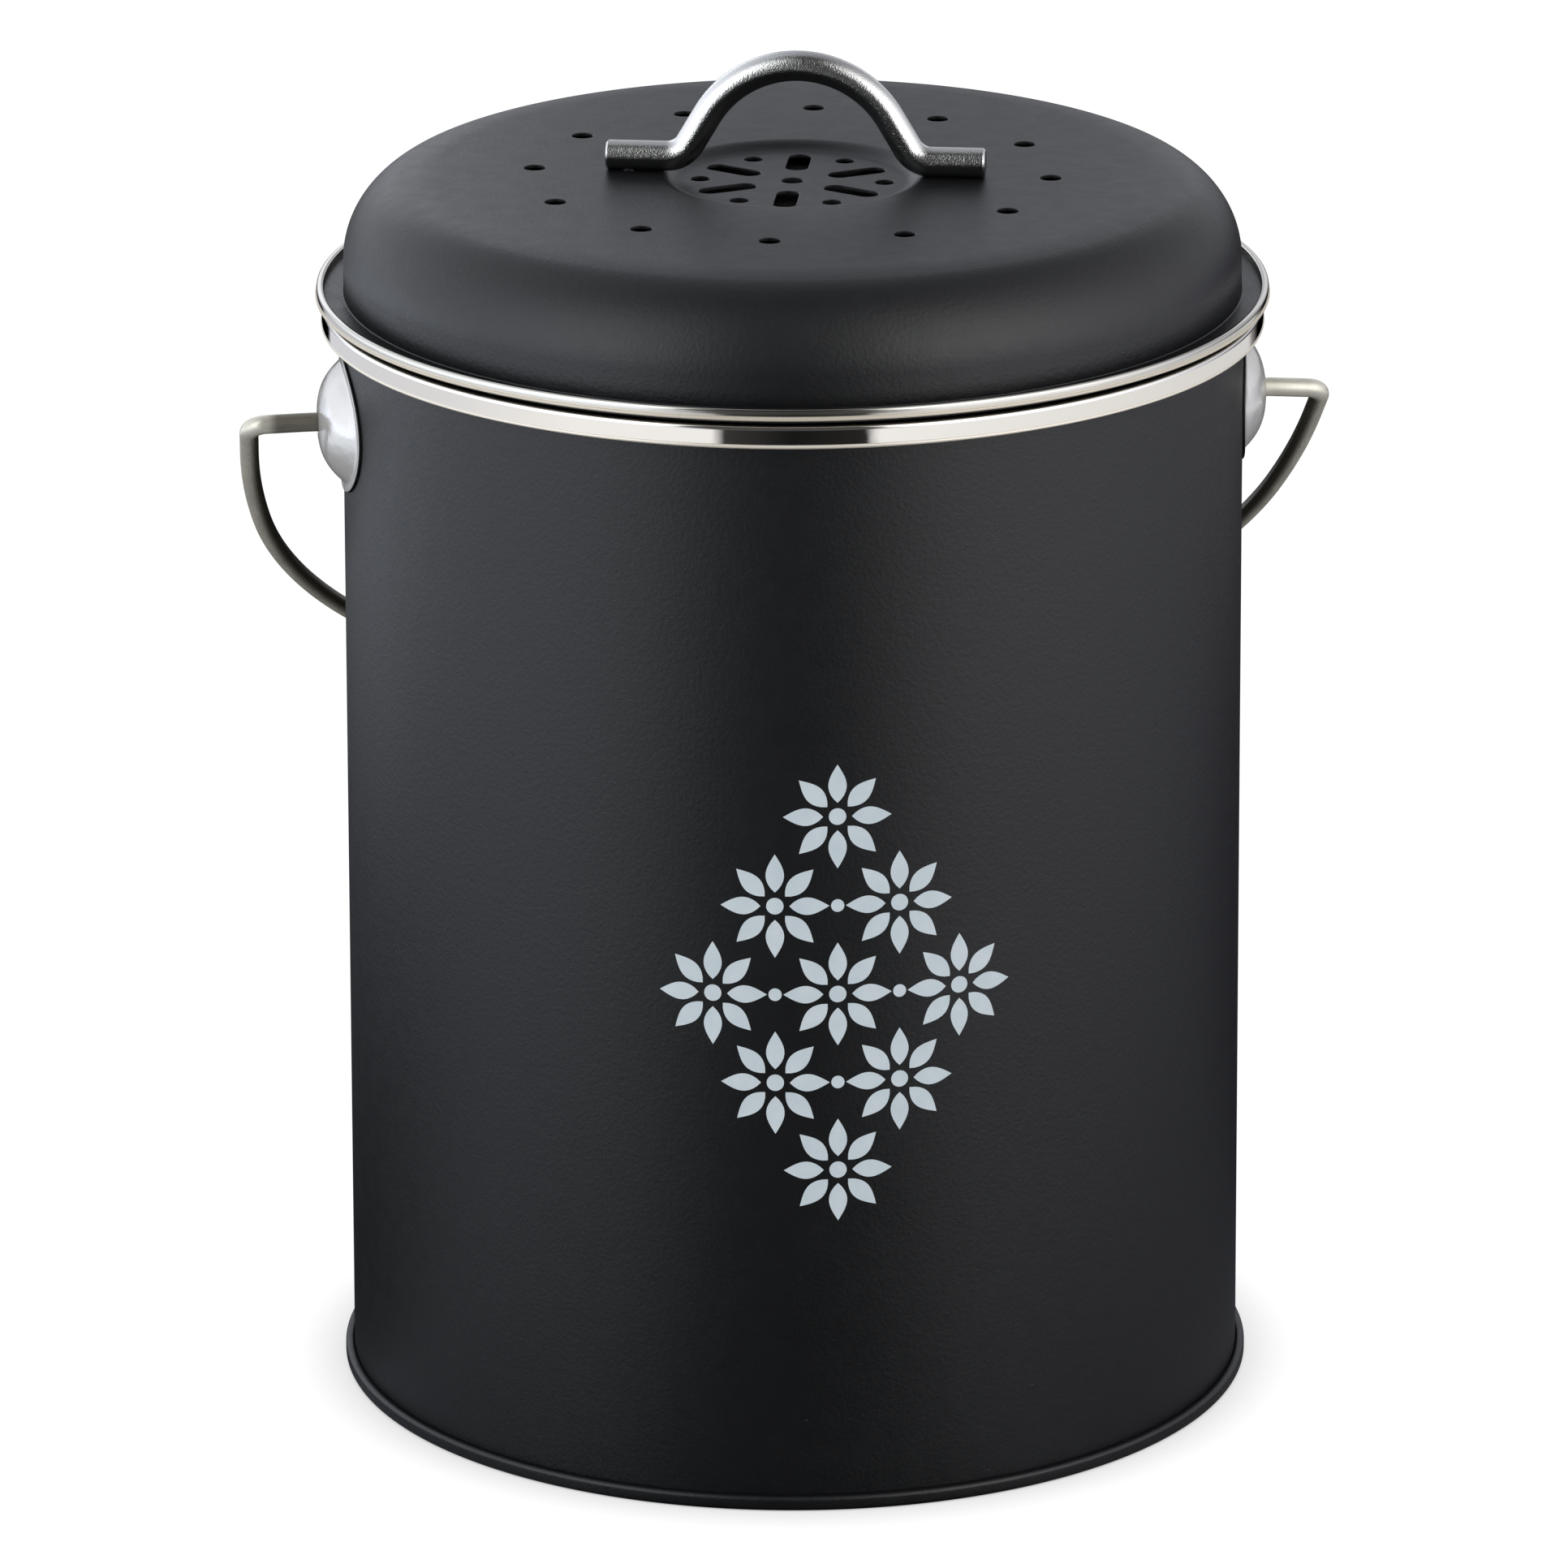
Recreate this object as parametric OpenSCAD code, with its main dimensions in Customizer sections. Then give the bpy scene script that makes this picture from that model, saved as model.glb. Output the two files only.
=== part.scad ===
// Round steel food-waste caddy with a lift-off vented lid and a swinging wire bail.
// Millimetres. +Z is up, the origin is the centre of the foot on the floor, and the
// bail turns about the X axis through the two ears. The front faces -Y.

/* [Body] */
// Outer diameter of the round wall
body_d = 180; // [160:1:220]
// Height of the rim's flat top above the floor
body_h = 223.9; // [180:0.1:280]
// Sheet thickness of the wall
wall_t = 0.6; // [0.5:0.05:1]

/* [Rim collar] */
// How far the polished collar stands out from the wall
rim_out = 4.1; // [3.5:0.1:5]
// Height of the collar
rim_h = 5.5; // [4.5:0.1:7]
// Sheet thickness of the collar
rim_t = 0.6; // [0.4:0.05:0.8]
// Corner radius where the collar's top turns down
rim_corner_r = 1.4; // [1:0.1:1.8]
// Gap between the collar's lower lip and the wall
rim_lip_gap = 0.35; // [0.2:0.05:0.6]

/* [Base] */
// How far the seam ring stands out from the wall
foot_out = 2.1; // [1.5:0.1:3]
// Height of the seam ring
foot_h = 3.1; // [2.5:0.1:5]
// Corner radius of the seam ring
foot_round = 0.9; // [0.5:0.1:1]
// Height of the floor plate's underside above the ground
plate_recess = 3; // [2:0.1:5]
// Sheet thickness of the floor plate
plate_t = 0.6; // [0.5:0.05:1]
// Bend radius between the floor plate and its turned-down edge
plate_bend_r = 1.6; // [1.2:0.1:1.8]

/* [Ears] */
// Depth of the ear axis below the rim's top
ear_drop = 22.7; // [21:0.1:60]
// Diameter of the pressed dome at the wall
ear_dome_d = 24; // [20:0.5:26]
// Height of the dome above the wall
ear_dome_h = 6.1; // [6:0.1:8]
// Diameter of the ear's flange
ear_flange_d = 29.6; // [28:0.2:32]
// Sheet thickness of an ear
ear_t = 0.6; // [0.4:0.05:0.8]

/* [Bail] */
// Diameter of the bail wire
bail_wire_d = 3.8; // [3:0.1:4.2]
// Distance from the body's wall to each bail corner, at the wire's middle
bail_out = 18.4; // [14:0.1:30]
// Length of each straight leg, from the corner
leg_l = 8.7; // [6:0.1:20]
// Lean of each straight leg towards the middle, in degrees
leg_lean = 2; // [0:0.5:4]
// Radius of the long bend that follows each leg
leg_bend_r = 200; // [150:5:260]
// Turn of that long bend, in degrees
leg_bend_a = 9.6; // [8:0.2:14]
// Bend radius at each corner, at the wire's middle
bail_corner_r = 2.3; // [2.2:0.1:4]
// Diameter of the upset head at each end of the wire
bail_head_d = 6.8; // [6:0.1:7.4]
// Thickness of that head
bail_head_t = 1.6; // [1:0.1:2]
// Radial gap between the wire and its hole in the ear
bail_hole_gap = 0.3; // [0.2:0.05:0.4]
// Sideways play of the bail on each side
bail_play = 1.2; // [1:0.1:1.5]
// Where the loose bail lies within that play
bail_shift = -0.8; // [-0.8:0.1:0.8]
// Gap between the hanging bail and the back of the wall
bail_rest_gap = 0.3; // [0.2:0.05:1]

/* [Lid] */
// Turn of the loose lid on the body, in degrees
lid_turn = -12; // [-90:1:90]
// Sheet thickness of the lid
lid_t = 0.6; // [0.5:0.05:0.9]
// Height of the lid's flat crown above its flange
crown_h = 23.1; // [21:0.1:40]
// Radius of the upper part of the shoulder
shoulder_top_r = 13.6; // [10:0.1:15]
// Radius of the lower part of the shoulder
shoulder_side_r = 17.4; // [15.5:0.1:19]
// Where the two shoulder radii meet, in degrees above the side
shoulder_split = 58; // [50:1:65]
// Inside radius where the wall meets the flange
flange_fillet_r = 1; // [0.6:0.1:1.5]
// Gap between the seal and the rim
lid_seat_gap = 0.3; // [0.2:0.05:0.5]

/* [Lid bead] */
// How far the polished bead stands out beyond the rim collar
bead_over = 1.05; // [0.8:0.05:3]
// Radial width of the bead
bead_w = 1.7; // [1.5:0.1:2.2]
// Height of the bead above the flange
bead_up = 1.45; // [1:0.05:2]
// How far the bead hangs below the flange
bead_down = 0.65; // [0.5:0.05:0.9]
// Corner radius of the bead
bead_round = 0.8; // [0.4:0.05:0.8]
// How far the flange reaches into the bead
bead_grip = 0.9; // [0.5:0.05:1]

/* [Skirt and seal] */
// Sheet thickness of the skirt that centres the lid
skirt_t = 0.6; // [0.5:0.05:0.9]
// Gap between the skirt and the inside of the body's wall
skirt_gap = 0.5; // [0.3:0.05:1]
// How far the skirt reaches below the rim's top
skirt_drop = 11; // [8:0.5:13]
// How far the skirt overlaps the lid's upright wall
skirt_lap = 4; // [3:0.5:5]
// Height of the inward taper at the skirt's lower end
skirt_taper_h = 2; // [1:0.1:3]
// Inward run of that taper
skirt_taper_in = 1; // [0.5:0.1:1.5]
// Thickness of the seal ring
seal_t = 1.2; // [0.8:0.1:1.6]
// Radial width of the seal ring
seal_w = 2.4; // [1.8:0.1:2.6]
// Gap between the seal and the bead
seal_gap = 0.45; // [0.3:0.05:0.6]

/* [Dish and vents] */
// Distance from each handle screw to the edge of the dish
dish_gap = 6.2; // [5:0.1:8]
// Radial run of the dish's sloping wall
dish_slope_w = 4.2; // [3:0.1:5]
// Depth of the dish
dish_depth = 1.9; // [1.6:0.1:2.2]
// Diameter of the centre vent
centre_vent_d = 4; // [3:0.1:6]
// Number of small vents in the dish, and of slots between them
dish_vents = 6; // [4:1:7]
// Distance from the edge of the dish's floor to the middle of a small vent
small_vent_in = 3.8; // [3:0.1:5]
// Diameter of a small vent
small_vent_d = 3.5; // [2.5:0.1:4.5]
// Distance from the edge of the dish's floor to the middle of a slot
slot_in = 8; // [7.6:0.1:9]
// Length of a slot
slot_l = 11; // [9:0.1:11.4]
// Width of a slot
slot_w = 4.3; // [3:0.1:4.6]
// Number of vents in the outer circle
ring_vents = 12; // [8:1:24]
// Distance from the charcoal pad's edge to the middle of an outer vent
ring_vent_in = 8; // [5:0.5:13]
// Diameter of an outer vent
ring_vent_d = 4; // [3:0.1:5]
// Turn of the outer circle against the handle, in degrees
ring_vent_turn = 0; // [-8:1:8]

/* [Lid handle] */
// Diameter of the handle rod
rod_d = 5.7; // [5.2:0.1:7]
// Length of the handle from end to end
handle_l = 75.6; // [74:0.1:84]
// Rise of the rod's middle from foot to top
handle_rise = 19.4; // [17:0.1:26]
// Radius of the arch, at the rod's middle
arch_r = 22.4; // [20:0.1:23]
// Radius of the bend at each foot, at the rod's middle
foot_bend_r = 6; // [5:0.1:7]
// Slope of the rod between foot and arch, in degrees
arch_slope = 58; // [55:1:62]
// Depth of the flat under each foot
foot_flat = 0.15; // [0.1:0.05:0.3]
// Chamfer at the rod's ends
rod_chamfer = 0.4; // [0.2:0.1:0.8]

/* [Handle screws] */
// Diameter of the screw
screw_d = 3; // [2.5:0.1:3.2]
// Distance from the end of the rod to the screw
screw_inset = 5.2; // [4.4:0.1:5.8]
// Depth of the tapped hole in the rod
screw_depth = 4; // [3:0.1:4.3]
// Diameter of the screw head
screw_head_d = 5.8; // [5:0.1:6.5]
// Height of the screw head
screw_head_t = 1.9; // [1.5:0.1:2.2]
// Gap round the screw in the lid
screw_lid_gap = 0.25; // [0.1:0.05:0.4]
// Gap round the screw in the rod
screw_rod_gap = 0.05; // [0.02:0.01:0.08]
// Outer diameter of the washer
washer_d = 8; // [7:0.1:9]
// Thickness of the washer
washer_t = 0.6; // [0.5:0.05:0.8]
// Width of the cross slot in the screw head
cross_w = 0.9; // [0.6:0.1:1.2]
// Depth of the cross slot in the screw head
cross_depth = 1; // [0.6:0.1:1.2]

/* [Filter] */
// Distance from the lid's wall to the charcoal pad
pad_in = 30; // [29.5:0.5:40]
// Thickness of the charcoal pad
pad_t = 8; // [6:0.5:9]
// Gap between the pad and the screw heads
pad_gap = 0.6; // [0.4:0.1:1.5]
// Gap between the pad and the tray's wall
pad_side_gap = 0.5; // [0.3:0.1:1]
// Thickness of the tray's wall
tray_wall = 1.5; // [1.2:0.1:1.8]
// Thickness of the tray's floor
tray_floor = 1.2; // [1:0.1:2]
// Number of hole circles in the tray's floor
tray_hole_rings = 3; // [1:1:3]
// Diameter of a tray hole
tray_hole_d = 8; // [5:0.1:9]
// Length of the tray's finger bar
tray_bar_l = 34; // [24:0.5:40]
// Thickness of the finger bar
tray_bar_t = 3; // [2:0.1:4]
// Height of the finger bar
tray_bar_h = 6; // [4:0.5:8]
// How far a locking lug stands out from the tray
lug_out = 4.6; // [3.6:0.1:4.6]
// Thickness of a locking lug
lug_t = 1.5; // [1.2:0.1:2]
// Angle that a locking lug covers
lug_a = 14; // [8:1:16]

/* [Filter clips] */
// Number of clips and of locking lugs
clip_count = 3; // [3:1:4]
// Sheet thickness of a clip
clip_t = 0.8; // [0.6:0.05:1]
// Angle that a clip covers
clip_a = 12; // [8:1:14]
// Gap between a lug and the clip beside and below it
clip_gap = 0.3; // [0.2:0.05:0.5]
// Depth of a clip's foot and tongue
clip_reach = 4.2; // [3.5:0.1:4.2]
// Turn of the clips against the handle, in degrees
clip_turn = 30; // [0:1:60]

/* [Hidden] */

// Smoothness of round faces, and a small overlap for cuts
round_fn = 96;
arc_steps = 14;
cut = 1;

// A bend's ends lie inside the bars on either side of it, this far and this much thinner
bend_lap = 0.2;
bend_step = 0.02;

black_paint = "#2b2d30";
polished = "#d9d9d6";
chrome_plate = "#c9ccd0";
nickel = "#a8a59c";
silicone = "#1d1d1f";
charcoal = "#26282a";
tray_black = "#303236";

// Body
body_r = body_d / 2;
shell_top = body_h - rim_t;
rim_r = body_r + rim_out;
plate_r = body_r - wall_t;

// Lid radii, from the body's wall inwards and from the rim collar outwards
skirt_r = plate_r - skirt_gap;
lid_wall_r = skirt_r + lid_t;
bead_r = rim_r + bead_over;
bead_in_r = bead_r - bead_w;
flange_r = bead_in_r + bead_grip;
seal_r = bead_in_r - seal_gap;
pad_r = lid_wall_r - pad_in;

// Lid heights, from the rim upwards
seal_z = body_h + lid_seat_gap;
flange_under = seal_z + seal_t;
flange_z = flange_under + lid_t;
crown_z = flange_z + crown_h;
crown_under = crown_z - lid_t;
dish_z = crown_z - dish_depth;

// The two centres of the shoulder
shoulder_top_c = [lid_wall_r - shoulder_side_r
                  + (shoulder_side_r - shoulder_top_r) * cos(shoulder_split),
                  crown_z - shoulder_top_r];
shoulder_side_c = [lid_wall_r - shoulder_side_r,
                   shoulder_top_c[1] - (shoulder_side_r - shoulder_top_r) * sin(shoulder_split)];

// The dish lies between the handle's screws, and its wall is two equal arcs that meet half way
screw_x = handle_l / 2 - screw_inset;
dish_r = screw_x - dish_gap;
dish_floor_r = dish_r - dish_slope_w;
dish_run = dish_slope_w / 2;
dish_drop = dish_depth / 2;
dish_arc_r = (dish_run * dish_run + dish_drop * dish_drop) / (2 * dish_drop);
dish_arc_a = asin(dish_run / dish_arc_r);

// Skirt heights
skirt_low = body_h - skirt_drop;
skirt_top = flange_z + flange_fillet_r + skirt_lap;

// Ears
ear_z = body_h - ear_drop;
ear_sphere_r = (ear_dome_d * ear_dome_d / 4 + ear_dome_h * ear_dome_h) / (2 * ear_dome_h);
ear_sphere_x = body_r + ear_dome_h - ear_sphere_r;

// Bail, in its own plane: X across, Y from the ear axis to the middle of the bail
wire_r = bail_wire_d / 2;
bail_half_w = body_r + bail_out;
head_face_x = ear_sphere_x - bail_play
              + sqrt(pow(ear_sphere_r - ear_t, 2) - pow(bail_head_d / 2, 2));
corner_turn = 90 + leg_lean;
corner_tangent = bail_corner_r * tan(corner_turn / 2);
leg_end = [bail_half_w - leg_l * sin(leg_lean), leg_l * cos(leg_lean)];
leg_bend_c = leg_end - leg_bend_r * [cos(leg_lean), sin(leg_lean)];
grip_a = leg_lean + leg_bend_a;
grip_start = leg_bend_c + leg_bend_r * [cos(grip_a), sin(grip_a)];
grip_r = grip_start[0] / cos(grip_a);
grip_c = [0, grip_start[1] - grip_r * sin(grip_a)];
bail_depth = grip_c[1] + grip_r;
bail_rest_a = asin((body_r + bail_rest_gap + wire_r) / bail_depth);

// Handle, in its own plane: X along the rod, Y up from the crown
rod_r = rod_d / 2;
foot_y = rod_r - foot_flat;
slope_l = (handle_rise - (arch_r + foot_bend_r) * (1 - cos(arch_slope))) / sin(arch_slope);
arch_c = [0, foot_y + handle_rise - arch_r];
slope_top = arch_c + arch_r * [sin(arch_slope), cos(arch_slope)];
slope_end = slope_top + slope_l * [cos(arch_slope), -sin(arch_slope)];
foot_bend_c = slope_end + foot_bend_r * [sin(arch_slope), cos(arch_slope)];

// Filter, from the screw heads downwards
washer_z = crown_under - washer_t;
screw_head_z = washer_z - screw_head_t;
pad_top = screw_head_z - pad_gap;
pad_z = pad_top - pad_t;
tray_z = pad_z - tray_floor;
tray_in_r = pad_r + pad_side_gap;
tray_r = tray_in_r + tray_wall;
lug_r = tray_r + lug_out;
clip_in_r = lug_r + clip_gap;
clip_r = clip_in_r + clip_t;
tongue_top = tray_z - clip_gap;
tray_hole_pitch = tray_in_r / (tray_hole_rings + 1);

// Points along an arc about c from angle a0 to a1
function arc(c, r, a0, a1, n = arc_steps) =
    [for (i = [0 : n]) let (a = a0 + (a1 - a0) * i / n) c + r * [cos(a), sin(a)]];

// Points along an elliptical arc about c
function oval(c, rx, ry, a0, a1, n = arc_steps) =
    [for (i = [0 : n]) let (a = a0 + (a1 - a0) * i / n) c + [rx * cos(a), ry * sin(a)]];

function reversed(list) = [for (i = [len(list) - 1 : -1 : 0]) list[i]];

// The lid's face, from the dish to the flange: inset 0 is the top, lid_t the underside
function lid_face(inset) = concat(
    [[0, dish_z - inset]],
    arc([dish_floor_r, dish_z + dish_arc_r], dish_arc_r + inset, -90, -90 + dish_arc_a, 6),
    arc([dish_r, crown_z - dish_arc_r], dish_arc_r - inset, 90 + dish_arc_a, 90, 6),
    arc(shoulder_top_c, shoulder_top_r - inset, 90, shoulder_split),
    arc(shoulder_side_c, shoulder_side_r - inset, shoulder_split, 0),
    arc([lid_wall_r + flange_fillet_r, flange_z + flange_fillet_r], flange_fillet_r + inset,
        180, 270, 6),
    [[flange_r, flange_z - inset]]);

// One side of the rim collar's strip: inset 0 is its outside, rim_t its inside
function rim_side(inset) = concat(
    [[body_r - wall_t, body_h - inset]],
    arc([rim_r - rim_corner_r, body_h - rim_corner_r], rim_corner_r - inset, 90, 0, 6),
    oval([body_r + rim_lip_gap, body_h - rim_corner_r],
         rim_out - rim_lip_gap - inset, rim_h - rim_corner_r - inset, 0, -90));

// Flat plate with rounded corners, as an outline
function round_box(x0, x1, y0, y1, r) = concat(
    arc([x1 - r, y1 - r], r, 90, 0, 6),
    arc([x1 - r, y0 + r], r, 0, -90, 6),
    arc([x0 + r, y0 + r], r, 270, 180, 6),
    arc([x0 + r, y1 - r], r, 180, 90, 6));

module ring(r_out, r_in, z0, z1) {
    rotate_extrude($fn = round_fn)
        translate([r_in, z0])
            square([r_out - r_in, z1 - z0]);
}

// Part of a ring, centred on the +X direction
module ring_sector(r_out, r_in, z0, z1, angle) {
    rotate([0, 0, -angle / 2])
        rotate_extrude(angle = angle, $fn = round_fn)
            translate([r_in, z0])
                square([r_out - r_in, z1 - z0]);
}

// Round bar bent about c in the XY plane
module bent_rod(c, r, a0, a1, d) {
    translate([c[0], c[1], 0])
        rotate([0, 0, a0])
            rotate_extrude(angle = a1 - a0, $fn = round_fn)
                translate([r, 0])
                    circle(d = d, $fn = 48);
}

// The same bar, made to join two others
module bend(c, r, a0, a1, d) {
    lap_a = bend_lap / r * 180 / PI;
    bent_rod(c, r, a0 - lap_a, a1 + lap_a, d - 2 * bend_step);
}

// Straight round bar from p to q in the XY plane
module straight_rod(p, q, d) {
    run = q - p;
    translate([p[0], p[1], 0])
        rotate([0, 0, atan2(run[1], run[0])])
            rotate([0, 90, 0])
                cylinder(d = d, h = norm(run), $fn = 48);
}

module body_shell() {
    color(black_paint)
        ring(body_r, body_r - wall_t, 0, shell_top);
}

module rim_collar() {
    color(polished)
        rotate_extrude($fn = round_fn)
            polygon(concat(rim_side(0), reversed(rim_side(rim_t))));
}

// Dished plate whose edge turns down to the floor inside the wall
module base_plate() {
    top_z = plate_recess + plate_t;
    bend_c = [plate_r - plate_bend_r, top_z - plate_bend_r];
    color(black_paint)
        rotate_extrude($fn = round_fn)
            polygon(concat(
                [[0, top_z]],
                arc(bend_c, plate_bend_r, 90, 0, 6),
                [[plate_r, 0], [plate_r - plate_t, 0]],
                arc(bend_c, plate_bend_r - plate_t, 0, 90, 6),
                [[0, plate_recess]]));
}

module base_ring() {
    color(black_paint)
        rotate_extrude($fn = round_fn)
            polygon(concat(
                [[body_r, foot_h]],
                arc([body_r + foot_out - foot_round, foot_h - foot_round], foot_round, 90, 0, 6),
                arc([body_r + foot_out - foot_round, foot_round], foot_round, 0, -90, 6),
                [[body_r, 0]]));
}

// Pressed dome with a flange that follows the wall, on the +X side
module ear() {
    color(chrome_plate)
        difference() {
            union() {
                intersection() {
                    ring(body_r + ear_t, body_r, ear_z - ear_flange_d, ear_z + ear_flange_d);
                    translate([0, 0, ear_z])
                        rotate([0, 90, 0])
                            cylinder(d = ear_flange_d, h = body_d, $fn = round_fn);
                }
                translate([ear_sphere_x, 0, ear_z])
                    sphere(r = ear_sphere_r, $fn = round_fn);
            }
            cylinder(r = body_r, h = body_h, $fn = round_fn);
            translate([ear_sphere_x, 0, ear_z])
                sphere(r = ear_sphere_r - ear_t, $fn = round_fn);
            translate([body_r, 0, ear_z])
                rotate([0, 90, 0])
                    cylinder(r = wire_r + bail_hole_gap, h = ear_dome_h + cut, $fn = 48);
        }
}

module ear_left() {
    mirror([1, 0, 0])
        ear();
}

module ear_right() {
    ear();
}

// One leg of the bail in its own plane, from its head to the start of the grip
module bail_leg() {
    straight_rod([head_face_x - bail_head_t, 0], [head_face_x, 0], bail_head_d);
    straight_rod([head_face_x, 0], [bail_half_w - corner_tangent, 0], bail_wire_d);
    bend([bail_half_w - corner_tangent, bail_corner_r], bail_corner_r,
         -90, corner_turn - 90, bail_wire_d);
    straight_rod([bail_half_w, 0] + corner_tangent * [-sin(leg_lean), cos(leg_lean)],
                 leg_end, bail_wire_d);
    bend(leg_bend_c, leg_bend_r, leg_lean, grip_a, bail_wire_d);
}

// The bail hangs down behind the body
module bail() {
    color(nickel)
        translate([bail_shift, 0, ear_z])
            rotate([bail_rest_a - 90, 0, 0])
                union() {
                    bail_leg();
                    mirror([1, 0, 0])
                        bail_leg();
                    bent_rod(grip_c, grip_r, grip_a, 180 - grip_a, bail_wire_d);
                }
}

// Slot with round ends along X, about the origin
module slot_outline() {
    half = slot_l / 2 - slot_w / 2;
    polygon(concat(
        arc([half, 0], slot_w / 2, 90, -90, 8),
        arc([-half, 0], slot_w / 2, 270, 90, 8)));
}

module vent(r, d) {
    translate([r, 0, dish_z - lid_t - cut])
        cylinder(d = d, h = dish_depth + lid_t + 2 * cut, $fn = 32);
}

module lid_shell() {
    color(black_paint)
        rotate([0, 0, lid_turn])
            difference() {
                rotate_extrude($fn = round_fn)
                    polygon(concat(lid_face(0), reversed(lid_face(lid_t))));
                vent(0, centre_vent_d);
                for (i = [0 : dish_vents - 1])
                    rotate([0, 0, 360 / dish_vents * i]) {
                        vent(dish_floor_r - small_vent_in, small_vent_d);
                        rotate([0, 0, 180 / dish_vents])
                            translate([dish_floor_r - slot_in, 0, dish_z - lid_t - cut])
                                linear_extrude(lid_t + 2 * cut)
                                    slot_outline();
                    }
                for (i = [0 : ring_vents - 1])
                    rotate([0, 0, 360 / ring_vents * i + ring_vent_turn])
                        vent(pad_r - ring_vent_in, ring_vent_d);
                for (side = [-1, 1])
                    translate([side * screw_x, 0, crown_under - cut])
                        cylinder(r = screw_d / 2 + screw_lid_gap, h = lid_t + 2 * cut, $fn = 32);
            }
}

// Polished trim that grips the flange's edge
module lid_bead() {
    color(polished)
        rotate_extrude($fn = round_fn)
            difference() {
                polygon(round_box(bead_in_r, bead_r, flange_under - bead_down,
                                  flange_z + bead_up, bead_round));
                translate([bead_in_r - cut, flange_under])
                    square([bead_grip + cut, lid_t]);
            }
}

module lid_skirt() {
    color(polished)
        rotate_extrude($fn = round_fn)
            polygon([[skirt_r, skirt_top],
                     [skirt_r, skirt_low + skirt_taper_h],
                     [skirt_r - skirt_taper_in, skirt_low],
                     [skirt_r - skirt_taper_in - skirt_t, skirt_low],
                     [skirt_r - skirt_t, skirt_low + skirt_taper_h],
                     [skirt_r - skirt_t, skirt_top]]);
}

module lid_seal() {
    color(silicone)
        ring(seal_r, seal_r - seal_w, seal_z, flange_under);
}

// Half of the handle in its own plane, from the arch's foot to the rod's end
module handle_half() {
    foot_l = handle_l / 2 - foot_bend_c[0];
    straight_rod(slope_top, slope_end, rod_d);
    bend(foot_bend_c, foot_bend_r, 270 - arch_slope, 270, rod_d);
    translate([foot_bend_c[0], foot_y, 0])
        rotate([0, 90, 0])
            rotate_extrude($fn = 48)
                polygon([[0, 0], [rod_r, 0], [rod_r, foot_l - rod_chamfer],
                         [rod_r - rod_chamfer, foot_l], [0, foot_l]]);
}

module lid_handle() {
    color(chrome_plate)
        rotate([0, 0, lid_turn])
            translate([0, 0, crown_z])
                difference() {
                    rotate([90, 0, 0])
                        union() {
                            handle_half();
                            mirror([1, 0, 0])
                                handle_half();
                            bend(arch_c, arch_r, 90 - arch_slope, 90 + arch_slope, rod_d);
                        }
                    translate([-handle_l, -rod_d, -rod_d])
                        cube([2 * handle_l, 2 * rod_d, rod_d]);
                    for (side = [-1, 1])
                        translate([side * screw_x, 0, -cut])
                            cylinder(r = screw_d / 2 + screw_rod_gap, h = screw_depth + cut,
                                     $fn = 32);
                }
}

module handle_screws() {
    color(polished)
        rotate([0, 0, lid_turn])
            for (side = [-1, 1])
                translate([side * screw_x, 0, screw_head_z])
                    difference() {
                        union() {
                            cylinder(d = screw_head_d, h = screw_head_t, $fn = 48);
                            translate([0, 0, screw_head_t])
                                cylinder(d = screw_d, h = washer_t + lid_t + screw_depth - 0.5,
                                         $fn = 32);
                        }
                        for (turn = [0, 90])
                            rotate([0, 0, turn])
                                translate([-screw_head_d / 3, -cross_w / 2, -cut])
                                    cube([screw_head_d / 1.5, cross_w, cross_depth + cut]);
                    }
}

module handle_washers() {
    color(polished)
        rotate([0, 0, lid_turn])
            for (side = [-1, 1])
                translate([side * screw_x, 0, 0])
                    ring(washer_d / 2, screw_d / 2 + screw_lid_gap, washer_z, crown_under);
}

// Bent brackets under the crown, each with a tongue that carries one lug
module filter_clips() {
    color(polished)
        for (i = [0 : clip_count - 1])
            rotate([0, 0, lid_turn + clip_turn + 360 / clip_count * i])
                union() {
                    ring_sector(clip_r, clip_in_r, tongue_top - clip_t, crown_under, clip_a);
                    ring_sector(clip_in_r, clip_r - clip_reach - clip_t, crown_under - clip_t,
                                crown_under, clip_a);
                    ring_sector(clip_in_r, clip_r - clip_reach, tongue_top - clip_t,
                                tongue_top, clip_a);
                }
}

// Perforated cup that holds the pad and turns out of the clips
module filter_tray() {
    color(tray_black)
        rotate([0, 0, lid_turn])
            difference() {
                union() {
                    rotate_extrude($fn = round_fn)
                        polygon([[0, tray_z], [tray_r, tray_z], [tray_r, pad_top],
                                 [tray_in_r, pad_top], [tray_in_r, pad_z], [0, pad_z]]);
                    translate([-tray_bar_l / 2, -tray_bar_t / 2, tray_z - tray_bar_h])
                        cube([tray_bar_l, tray_bar_t, tray_bar_h + tray_floor / 2]);
                    for (i = [0 : clip_count - 1])
                        rotate([0, 0, clip_turn + 360 / clip_count * i])
                            ring_sector(lug_r, tray_r - tray_wall / 2, tray_z, tray_z + lug_t,
                                        lug_a);
                }
                for (k = [1 : tray_hole_rings])
                    for (i = [0 : 6 * k - 1])
                        rotate([0, 0, 60 / k * (i + 0.5)])
                            translate([tray_hole_pitch * (k + 0.4), 0, tray_z - cut])
                                cylinder(d = tray_hole_d, h = tray_floor + 2 * cut, $fn = 24);
            }
}

module filter_pad() {
    color(charcoal)
        translate([0, 0, pad_z])
            cylinder(r = pad_r, h = pad_t, $fn = round_fn);
}

body_shell();
rim_collar();
base_plate();
base_ring();
ear_left();
ear_right();
bail();
lid_shell();
lid_bead();
lid_skirt();
lid_seal();
lid_handle();
handle_screws();
handle_washers();
filter_clips();
filter_tray();
filter_pad();
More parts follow.
